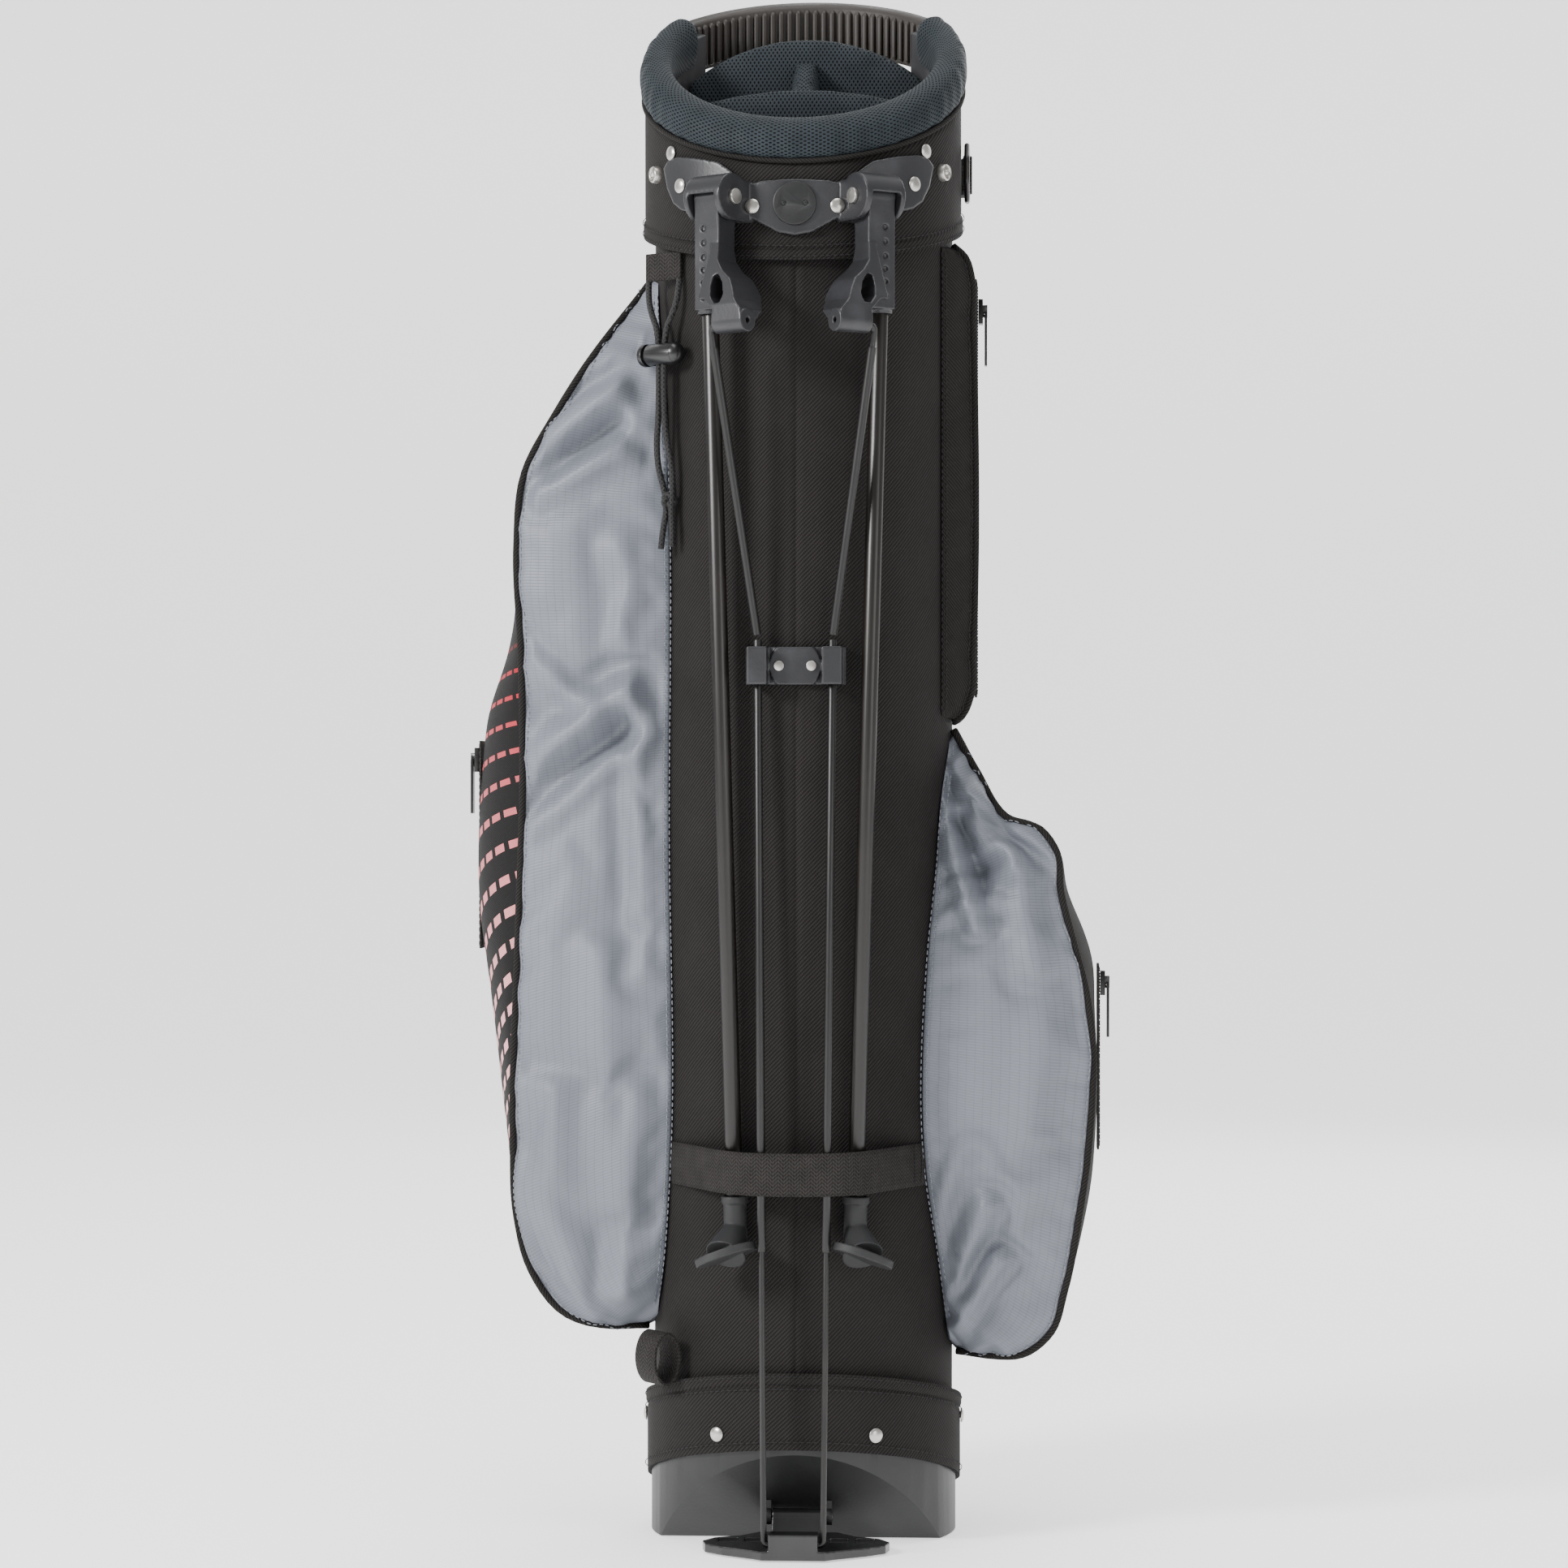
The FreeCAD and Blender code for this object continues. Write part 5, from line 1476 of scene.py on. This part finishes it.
        def low(turns: np.ndarray, y: np.ndarray) -> np.ndarray:
            """The lower edge."""
            return 30 - 0.3 * y * 90 / 88

        def high(turns: np.ndarray, y: np.ndarray) -> np.ndarray:
            """The upper edge."""
            return 76 - 0.26 * y * 90 / 88
        piece = self.sleeve("band_cloth", low, high, outer, 87.25, 40, 220)
        self.shop.finish(piece, "bag", "body_nylon", "base_band")
        self.rows("band_stitches", 90.6, [(74.3, -0.26), (67.4, -0.26), (34.5, -0.3)])

    def rows(self, name: str, radius: float, levels: Sequence[tuple[float, float]]) -> None:
        """Stitch rows right round a sleeve.

        Args:
            name: the piece's name.
            radius: the rows' radius in millimetres.
            levels: each row's height at the axis and its slope along Y.
        """
        turns = np.linspace(0, 2 * math.pi, 200)
        lines = []
        for level, slope in levels:
            x, y = around(turns, radius)
            lines.append((np.stack([x, y, level + slope * y], axis=1) * MM, np.stack([x, y, 0 * x], axis=1)))
        self.stitcher.sew(name, lines, "stitch_thread", "body_nylon")


@dataclass
class Mouth:
    """The padded rim roll, the dividers and the panels that hang from them."""

    shop: Workshop
    cloth: Simulator
    rim_radius: float = 84.0
    rim_half_width: float = 9.6
    rim_level: float = 819.8
    rim_slope: float = 0.568
    panel_span: tuple[float, float] = (60.5, 741.5)

    def build(self) -> None:
        """Make the rim, the dividers and the panels."""
        self.rim()
        for node in ("front_divider", "back_divider", "spine_divider"):
            self.stuff(node, "divider_mesh", "mesh", 0.003, 0.0022)
        self.stuff("floor_pad", "foam_grey", "foam", 0.002, 0.0008)
        self.panels()

    def rim(self) -> None:
        """The mesh roll along the rim, open behind for the handle."""
        turns = np.radians(np.linspace(-125.5, 125.5, 150))
        around_section = np.linspace(0, 2 * math.pi, 36, endpoint=False)
        rows = []
        for turn in turns:
            end = min(1.0, math.sqrt(max(0.0, 1 - (max(0, abs(math.degrees(turn)) - 119) / 6.6)**2)) + 0.03)
            across = self.rim_half_width * np.sign(np.cos(around_section))
            across = across * np.abs(np.cos(around_section))**0.75 * end
            half = 10.3 + 4.1 * (1 - math.cos(min(abs(turn) * 1.25, math.pi))) / 2
            up = half * np.sign(np.sin(around_section)) * np.abs(np.sin(around_section))**0.8 * end
            pucker = 0.35 * math.sin(turn * 47) + 0.25 * math.sin(turn * 29 + 1)
            radius = self.rim_radius + across - 1.2 * (up < -10) + pucker * (across > 3)
            y = -math.cos(turn) * radius
            level = self.rim_level + half + self.rim_slope * y + up
            rows.append(np.stack([-math.sin(turn) * radius, y, level], axis=1))
        piece = self.shop.loft("rim_roll", np.array(rows) * MM, "rim_mesh", closed=True, capped=True)
        smooth = piece.modifiers.new("smooth", "SUBSURF")
        smooth.levels = smooth.render_levels = 1
        self.shop.settle(piece)
        self.shop.finish(piece, "bag", "mesh", "rim_pad")
        angles = np.linspace(-2.2, 2.2, 160)
        x, y = around(angles, 91.4)
        path = np.stack([x, y, 820.6 + self.rim_slope * y], axis=1) * MM
        seam = self.shop.loft("rim_binding", tube_along(path, 0.0015, 8), "panel_twill",
                              closed=True, capped=True)
        self.shop.finish(seam, "bag", "body_nylon")

    def stuff(self, node: str, finish: str, slot: str, voxel: float, limit: float) -> bpy.types.Object:
        """A padded piece made from a CAD node's outline.

        Args:
            node: the CAD node that it stands for.
            finish: the finish's name.
            slot: the record's slot.
            voxel: the remeshing size in metres.
            limit: how far it may swell, in metres.

        Returns:
            The piece.
        """
        data = self.shop.frame["nodes"][node].data.copy()
        data.materials.clear()
        piece = bpy.data.objects.new(f"{node}_padding", data)
        bpy.context.scene.collection.objects.link(piece)
        work = bmesh.new()
        work.from_mesh(data)
        bmesh.ops.remove_doubles(work, verts=work.verts, dist=0.00001)
        work.to_mesh(data)
        work.free()
        remesh = piece.modifiers.new("remesh", "REMESH")
        remesh.mode = "VOXEL"
        remesh.voxel_size = voxel
        relax = piece.modifiers.new("relax", "SMOOTH")
        relax.iterations = 6
        relax.factor = 0.6
        self.shop.settle(piece)
        self.cloth.drape(piece, np.zeros(len(piece.data.vertices)), limit, pressure=4.0)
        smooth = piece.modifiers.new("smooth", "SUBSURF")
        smooth.levels = smooth.render_levels = 1
        self.shop.settle(piece)
        piece.data.materials.clear()
        piece.data.materials.append(self.shop.looks[finish])
        piece.data.polygons.foreach_set("use_smooth", [True] * len(piece.data.polygons))
        self.shop.map_box(piece)
        return self.shop.finish(piece, "bag", slot, node)

    def panels(self) -> None:
        """The cloth panels that part the clubs down the tube."""
        for name, start, end, flat in (("front_panel", (-75.6, -9), (75.6, -9), 0.151),
                                       ("back_panel", (-70.5, 38), (70.5, 38), 0.141),
                                       ("spine_panel", (0, -8), (0, 37), 0.045)):
            start, end = np.array(start, float), np.array(end, float)
            side = np.array([-(end - start)[1], (end - start)[0]]) / np.linalg.norm(end - start)
            rows = []
            for z in np.linspace(*self.panel_span, 60):
                share = np.linspace(0, 1, 24)
                wave = 0.7 * np.sin(share * 9 + z / 60) * np.sin(math.pi * share)
                flat_line = start + (end - start) * share[:, None] + side * wave[:, None]
                front = np.column_stack([flat_line - side * 0.6, np.full(24, z)])
                back = np.column_stack([flat_line + side * 0.6, np.full(24, z)])
                rows.append(np.concatenate([front, back[::-1]]))
            piece = self.shop.loft(name, np.array(rows) * MM, "lining", closed=True, capped=True)
            self.shop.finish(piece, "bag", "lining", "divider_panels")


@dataclass
class Drawcord:
    """The drawcord under the collar: two strands and a knot; its lock and the tab that holds it are made with
    the hardware.
    """

    LEFT = (
        (-85, -44.6, 708), (-85.2, -46.6, 699), (-83, -50.2, 689), (-78.5, -54.4, 678), (-78.5, -54.4, 632),
        (-80, -54, 617), (-79, -53, 602), (-75.4, -53.6, 590), (-74, -54.2, 579), (-76.2, -55, 568),
        (-77.2, -56, 557))
    RIGHT = (
        (-66.6, -58, 708), (-67.2, -59.6, 699), (-70, -59.2, 689), (-75.5, -57.1, 678), (-75.5, -57.1, 632),
        (-73.8, -57, 617), (-70.8, -57.4, 602), (-70.6, -57.6, 590), (-71.4, -57.2, 579),
        (-70.6, -58.4, 568), (-70.8, -58.6, 558))

    shop: Workshop
    diameter: float = 0.0035
    rounding: float = 0.985

    def build(self) -> None:
        """Make the knot and both strands."""
        knot = self.knot()
        for name, points in (("left_strand", self.LEFT), ("right_strand", self.RIGHT)):
            self.strand(name, points, knot)

    def strand(self, name: str, points: Sequence[Sequence[float]], knot: bpy.types.Object) -> None:
        """One strand as a smooth curve with thickness.

        Args:
            name: the CAD strand's node.
            points: its points in millimetres, from the tab to its end.
            knot: the knot that joins it to the other; not used.
        """
        curve = bpy.data.curves.new(f"{name}_cord", "CURVE")
        curve.dimensions = "3D"
        curve.bevel_depth = self.diameter / 2
        curve.bevel_resolution = 3
        curve.use_fill_caps = True
        curve.resolution_u = 8
        spline = curve.splines.new("NURBS")
        spline.points.add(len(points) - 1)
        for control, point in zip(spline.points, points):
            control.co = (*[c * MM for c in point], 1.0)
        spline.order_u = 3
        spline.use_endpoint_u = True
        curve.materials.append(self.shop.looks["cord_braid"])
        piece = bpy.data.objects.new(f"{name}_cord", curve)
        bpy.context.scene.collection.objects.link(piece)
        self.shop.finish(piece, "bag", "cord", name)
        runs = [math.dist(a, b) for a, b in zip(points, points[1:])]
        [c * MM for c in points[0]]

    def knot(self) -> bpy.types.Object:
        """The overhand knot that joins the strands.

        Returns:
            The knot.
        """
        turns = np.linspace(0, 2 * math.pi, 90, endpoint=False)
        wide = 2.35 + 0.95 * np.cos(3 * turns)
        path = np.stack([wide * np.cos(2 * turns), 1.35 * np.sin(3 * turns),
                         1.05 * wide * np.sin(2 * turns)], axis=1)
        path = np.vstack([path, path[:1]]) + np.array([-72.7, -56, 584])
        piece = self.shop.loft("cord_knot_wraps", tube_along(path * MM, 0.0017, 10), "cord_braid",
                               closed=True, capped=True)
        return self.shop.finish(piece, "bag", "cord", "cord_knot")


@dataclass
class LegStrap:
    """The webbing band that keeps the legs against the tube."""

    PLAN = (
        (-71.6, -47.8), (-66, -56.5), (-53, -76), (-41, -92), (-28, -101.5), (-14, -104.6), (0, -105.1),
        (14, -104.6), (28, -101.5), (41, -92), (53, -76), (66, -56.5), (71.6, -47.8))

    shop: Workshop
    stitcher: Stitcher
    level: float = 212.0
    half_width: float = 11.8
    half_thickness: float = 0.7

    def build(self) -> None:
        """Make the band with its stitched end."""
        path = smooth_path(self.PLAN, 90)
        turn = np.gradient(path, axis=0)
        side = np.stack([turn[:, 1], -turn[:, 0]], axis=1)
        side /= np.linalg.norm(side, axis=1)[:, None]
        rows = []
        levels = np.linspace(-self.half_width, self.half_width, 9)
        for i, (point, out) in enumerate(zip(path, side)):
            sag = 1.6 * math.sin(math.pi * i / 89) ** 2
            curl = 0.35 * np.cos(levels / self.half_width * math.pi)
            outer = [(*(point + out * (self.half_thickness + c)), self.level - sag + level)
                     for level, c in zip(levels, curl)]
            inner = [(*(point - out * (self.half_thickness - c)), self.level - sag + level)
                     for level, c in zip(levels, curl)]
            rows.append(outer + inner[::-1])
        piece = self.shop.loft("leg_strap_band", np.array(rows) * MM, "strap_webbing",
                               closed=True, capped=True)
        self.swap_map(piece)
        self.shop.finish(piece, "bag", "webbing", "leg_strap")
        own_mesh(piece)
        lines = []
        for i in (83, 86):
            column = [(*(path[i] + side[i] * 1.5), self.level + level)
                      for level in np.linspace(-9.5, 9.5, 12)]
            lines.append((np.array(column) * MM, np.tile((*side[i], 0.0), (12, 1))))
        self.stitcher.sew("leg_strap_stitches", lines, "stitch_thread", "webbing", 0.0026)

    @staticmethod
    def swap_map(piece: bpy.types.Object) -> None:
        """Turn the cloth map so that the weave runs along the band.

        Args:
            piece: the band, changed in place.
        """
        layer = piece.data.uv_layers["Cloth"].data
        flat = np.zeros(len(layer) * 2)
        layer.foreach_get("uv", flat)
        layer.foreach_set("uv", flat.reshape(-1, 2)[:, ::-1].copy().ravel())


@dataclass
class Zips:
    """The tapes and coils of the three pocket zips; lengths in millimetres."""

    shop: Workshop
    stitcher: Stitcher
    coils: tuple[float, ...] = (-1.25, 1.25)
    seams: tuple[float, ...] = (-8.0, 8.0, -6.0, 6.0)
    rise: float = 1.35

    def build(self, pockets: Sequence[Pocket]) -> None:
        """Make each pocket's zip.

        Args:
            pockets: the three pockets.
        """
        for index, pocket in enumerate(pockets):
            self.one(pocket, index == 0)

    def one(self, pocket: Pocket, stands: bool) -> None:
        """One zip: its tape, both rows of coil and its stitches.

        Args:
            pocket: the pocket that it closes.
            stands: whether it stands for the CAD tapes.
        """
        x, y, low, high = pocket.zip_at
        rows = []
        for z in np.linspace(low, high, 40):
            across = np.array([-10, -9.6, -6, -1.1, -0.9, 0.9, 1.1, 6, 9.6, 10])
            lift = np.array([0.2, 1.1, 1.2, 1.3, 0.9, 0.9, 1.3, 1.2, 1.1, 0.2])
            top = [(pocket.side * (x + up), y + a, z) for a, up in zip(across, lift)]
            under = [(pocket.side * (x - 0.1), y + a, z) for a in across[::-1]]
            rows.append(top + under)
        tape = self.shop.loft(f"{pocket.name}_zip_tape", np.array(rows) * MM, "strap_webbing",
                              closed=True, capped=True)
        self.shop.finish(tape, "bag", "zip_coil", *(["zip_tapes"] if stands else []))
        coil = self.stitcher.tree.run(f"{pocket.name}_zip_coil", self.lines(pocket, self.coils, 4),
                                      self.stitcher.tooth, 0.0017, "lock_plastic")
        self.shop.finish(coil, "bag", "zip_coil")
        self.stitcher.sew(f"{pocket.name}_zip_stitches", self.lines(pocket, self.seams, 3),
                          "stitch_thread", "zip_coil")

    def lines(self, pocket: Pocket, shifts: Sequence[float], short: float) -> list[tuple]:
        """Upright lines on a tape.

        Args:
            pocket: the pocket that the tape is on.
            shifts: each line's distance from the tape's middle.
            short: how far the lines stop before the tape's ends.

        Returns:
            Each line's points and outward directions.
        """
        x, y, low, high = pocket.zip_at
        heights = np.linspace(low + short, high - short, 60)
        out = np.tile((pocket.side, 0.0, 0.0), (60, 1))
        return [(np.array([(pocket.side * (x + self.rise), y + shift, z) for z in heights]) * MM, out)
                for shift in shifts]


@dataclass
class Handle:
    """The ribbed carry handle at the back of the mouth."""

    shop: Workshop
    stitcher: Stitcher
    slope: float = 0.49
    half_turn: float = 50.0
    pitch: float = 0.0050

    def build(self) -> None:
        """Make the handle's body and the ribs on its inner face."""
        self.shop.refine("top_handle", "grip_plastic", "grip_plastic", 0.0018)
        shape = self.rib()
        turns = np.radians(np.linspace(180 - self.half_turn, 180 + self.half_turn, 120))
        x, y = around(turns, 84.9)
        path = np.stack([x, y, np.full_like(x, 830.6)], axis=1) * MM
        inward = np.stack([-x, -y, 0 * x], axis=1)
        piece = self.stitcher.tree.run("handle_ribs", [(path, inward)], shape, self.pitch, "grip_plastic")
        corners = Simulator.corners(piece.data)
        corners[:, 2] += self.slope * corners[:, 1]
        piece.data.vertices.foreach_set("co", corners.ravel())
        self.shop.finish(piece, "bag", "grip_plastic")

    def rib(self) -> bpy.types.Object:
        """One upright rib with rounded ends.

        Returns:
            The rib, out of the scene.
        """
        outline = [(-1.6, -0.6), (-1.45, 1.6), (-0.8, 2.1), (0.8, 2.1), (1.45, 1.6), (1.6, -0.6)]
        rows = [[(x * s * MM, y * MM, z * s * MM) for x, z in outline] for y, s in
                ((-12.2, 0.5), (-11.4, 0.9), (-10.4, 1), (10.4, 1), (11.4, 0.9), (12.2, 0.5))]
        shape = self.shop.loft("rib_shape", np.array(rows), "grip_plastic", closed=True, capped=True)
        return self.stitcher.hide(shape)


@dataclass
class Hardware:
    """The moulded and metal parts, each a softened copy of its CAD node."""

    PARTS = (
        ("base_cup", "base_moulding", "base_plastic", 0.0009),
        ("stay_rods", "black_wire", "rod_steel", 0.0003),
        ("foot_hinge_pin", "satin_nickel", "nickel", 0.0003),
        ("cuff_ring", "moulded_black", "moulded_black", 0.0008),
        ("leg_bracket", "moulded_black", "moulded_black", MOULDED),
        ("rivets", "satin_nickel", "nickel", 0.0002),
        ("badge_disc", "badge_plastic", "badge_plastic", 0.0003),
        ("badge_screws", "lock_plastic", "moulded_black", 0.0002),
        ("hinge_pins", "satin_nickel", "nickel", 0.0002),
        ("guide_clip", "moulded_black", "moulded_black", MOULDED),
        ("clip_screws", "satin_nickel", "nickel", 0.0002),
        ("strap_buckle", "moulded_black", "moulded_black", MOULDED),
        ("left_knuckle", "moulded_black", "moulded_black", MOULDED),
        ("right_knuckle", "moulded_black", "moulded_black", MOULDED),
        ("left_leg_tube", "leg_gloss", "leg_paint", 0.0002),
        ("right_leg_tube", "leg_gloss", "leg_paint", 0.0002),
        ("left_foot", "boot_rubber", "rubber", MOULDED),
        ("right_foot", "boot_rubber", "rubber", MOULDED),
        ("foot_plate", "plate_gloss", "plate_gloss", MOULDED),
        ("left_rod", "black_wire", "rod_steel", 0),
        ("right_rod", "black_wire", "rod_steel", 0),
        ("left_rod_sleeve", "rod_sleeve", "sleeve_plastic", 0.0002),
        ("right_rod_sleeve", "rod_sleeve", "sleeve_plastic", 0.0002),
        ("left_rod_top", "rod_sleeve", "sleeve_plastic", 0),
        ("right_rod_top", "rod_sleeve", "sleeve_plastic", 0),
        ("lock_barrel", "lock_plastic", "lock_plastic", 0.0004),
        ("lock_spring", "satin_nickel", "nickel", 0),
        ("lock_button", "lock_plastic", "lock_plastic", 0.0004),
        ("towel_ring", "black_wire", "nickel", 0),
        ("left_slider", "black_wire", "nickel", 0.0003),
        ("left_pull", "black_wire", "nickel", 0.0003),
        ("ball_slider", "black_wire", "nickel", 0.0003),
        ("ball_pull", "black_wire", "nickel", 0.0003),
        ("side_slider", "black_wire", "nickel", 0.0003),
        ("side_pull", "black_wire", "nickel", 0.0003),
    )
    STUD = ((1, 0), (1, 0.5), (0.92, 0.85), (0.8, 1), (0.68, 0.85), (0.6, 0.3), (0.42, 0.25), (0.34, 0.75),
            (0.22, 0.95), (0.04, 1))
    STRAPS = ("cord_tab", "ring_tab", "upper_strap", "lower_strap", "base_loop")

    shop: Workshop
    mouth: Mouth
    bracket_grain: float = 0.00075
    small_grain: float = 0.00055

    def build(self) -> None:
        """Make every hard part and the flat webbing."""
        for node, finish, slot, edge in self.PARTS:
            if edge == MOULDED:
                grain = self.bracket_grain if node == "leg_bracket" else self.small_grain
                self.shop.mould(node, finish, slot, grain)
            else:
                self.shop.refine(node, finish, slot, edge)
        self.snaps()
        for node in self.STRAPS:
            self.shop.refine(node, "strap_webbing", "webbing", 0.0004, mapped=True)
        self.mouth.stuff("shoulder_pad", "divider_mesh", "mesh", 0.004, 0.003)

    def snaps(self) -> None:
        """The hood's two press studs: a rolled ring round a dished socket with a nub."""
        corners = Simulator.corners(self.shop.frame["nodes"]["hood_snaps"].data)
        turns = np.linspace(0, 2 * math.pi, 28, endpoint=False)
        for side, stands in ((-1, ("hood_snaps",)), (1, ())):
            own = corners[corners[:, 0] * side > 0]
            middle = own.mean(axis=0)
            out = middle * (1, 1, 0)
            out /= np.linalg.norm(out)
            reach = (own - middle) @ out
            low, high = reach.min(), reach.max()
            across = np.cross(out, (0, 0, 1))
            radius = abs((own - middle)[:, 2]).max()
            circle = np.cos(turns)[:, None] * across + np.sin(turns)[:, None] * np.array([0, 0, 1])
            rows = [middle + out * (low + (high - low) * rise) + circle * radius * share
                    for share, rise in self.STUD]
            name = "hood_snap_left" if side < 0 else "hood_snap_right"
            piece = self.shop.loft(name, np.array(rows), "satin_nickel", closed=True, capped=True)
            self.shop.face_out(piece)
            self.shop.finish(piece, "bag", "nickel", *stands)


def pockets() -> list[Pocket]:
    """The bag's three pockets.

    Returns:
        The apparel, ball and side pockets.
    """
    left = Pocket(
        "apparel_pocket", "left_pocket", -1,
        piping=((84, 716), (112, 676), (138, 636), (157, 600), (161, 560), (158.5, 500), (157.5, 432),
                (160.5, 330), (163, 226), (161, 180), (153, 150), (134, 125.5), (112, 118), (88, 116)),
        seam=((81.5, 712), (80, 690), (76, 660), (72.5, 600), (72, 400), (72, 200), (76, 155), (81.5, 122)),
        swell=((716, 0), (640, 1), (560, 2), (530, 6), (503, 13), (462, 27), (440, 29.5), (350, 29),
               (315, 23), (268, 15), (226, 9), (180, 4), (116, 2)),
        front_depth=-36, back_depth=68, back_seam=56,
        gusset="pocket_ripstop", face="dash_print", slot="pocket_ripstop",
        zip_at=(187.0, 19.0, 330.0, 450.0),
        creases=(Crease((102, 646), (152, 612), 6, 6), Crease((104, 628), (140, 600), 5, -4),
                 Crease((100, 610), (150, 588), 6, 4), Crease((156, 436), (104, 474), 8, 7),
                 Crease((150, 417), (98, 459), 7, -5), Crease((157, 500), (126, 474), 6, 4),
                 Crease((92, 480), (86, 318), 6, 4), Crease((100, 560), (94, 470), 7, 3),
                 Crease((110, 330), (104, 190), 9, 3), Crease((90, 250), (98, 140), 7, 4),
                 Crease((140, 250), (132, 150), 10, 3)))
    ball = Pocket(
        "ball_pocket_body", "ball_pocket", 1,
        piping=((86, 456), (99, 433), (117, 406), (136, 399), (144, 388), (147, 364), (154, 336),
                (161, 309), (164, 288), (163, 226), (157, 181), (149, 140), (141, 116), (128, 105),
                (108, 102), (88, 102.5)),
        seam=((84, 450), (78, 410), (76, 382), (70.5, 327), (70, 203), (76, 165), (83, 112)),
        swell=((456, 0), (400, 2), (364, 5), (325, 9), (300, 5), (226, 5), (195, 6), (150, 4), (104, 1)),
        front_depth=-38, back_depth=64, back_seam=57,
        gusset="pocket_ripstop", face="panel_twill", slot="pocket_ripstop",
        zip_at=(168.0, 12.0, 216.0, 322.0),
        creases=(Crease((88, 436), (119, 375), 5, 6), Crease((97, 424), (140, 388), 5, 6),
                 Crease((90, 405), (104, 362), 4, -5), Crease((84, 392), (99, 345), 5, 6),
                 Crease((80, 350), (106, 361), 4, 4), Crease((78, 372), (112, 380), 4, -4),
                 Crease((83, 114), (113, 158), 5, 5), Crease((84, 135), (106, 190), 5, 5),
                 Crease((80, 165), (98, 215), 5, -3), Crease((120, 396), (130, 320), 7, 4),
                 Crease((140, 330), (128, 230), 9, 3)))
    side = Pocket(
        "side_pocket_body", "side_pocket", 1,
        piping=((86, 731), (93, 724), (96.6, 712), (97.2, 690), (97.2, 500), (96, 475), (90, 463), (86, 461)),
        seam=((79, 730), (79, 700), (79, 500), (79, 462)),
        swell=((731, 0), (700, 0.8), (600, 0.9), (480, 0.8), (461, 0)),
        front_depth=-17, back_depth=54, back_seam=66,
        gusset="panel_twill", face="panel_twill", slot="body_nylon",
        zip_at=(98.0, 19.0, 475.0, 715.0), slack=0.01, rows=84, gusset_columns=9, face_columns=30,
        open_over=10, puff=0.6)
    return [left, ball, side]


def main() -> None:
    """Build the studio and every piece of the bag."""
    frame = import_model()
    Studio().build()
    shop = Workshop(frame, Wardrobe())
    Drawcord(shop).build()
    stitcher = Stitcher(shop)
    cloth = Simulator()
    mouth = Mouth(shop, cloth)
    shell = BagShell(shop, stitcher)
    shell.tube()
    shell.collar()
    shell.band()
    mouth.build()
    sewn = pockets()
    for pocket in sewn:
        pocket.build(shop, cloth, stitcher)
    Zips(shop, stitcher).build(sewn)
    LegStrap(shop, stitcher).build()
    Handle(shop, stitcher).build()
    Hardware(shop, mouth).build()


if __name__ == "__main__":
    logging.basicConfig(level=logging.INFO, format="%(name)s: %(message)s")
    main()
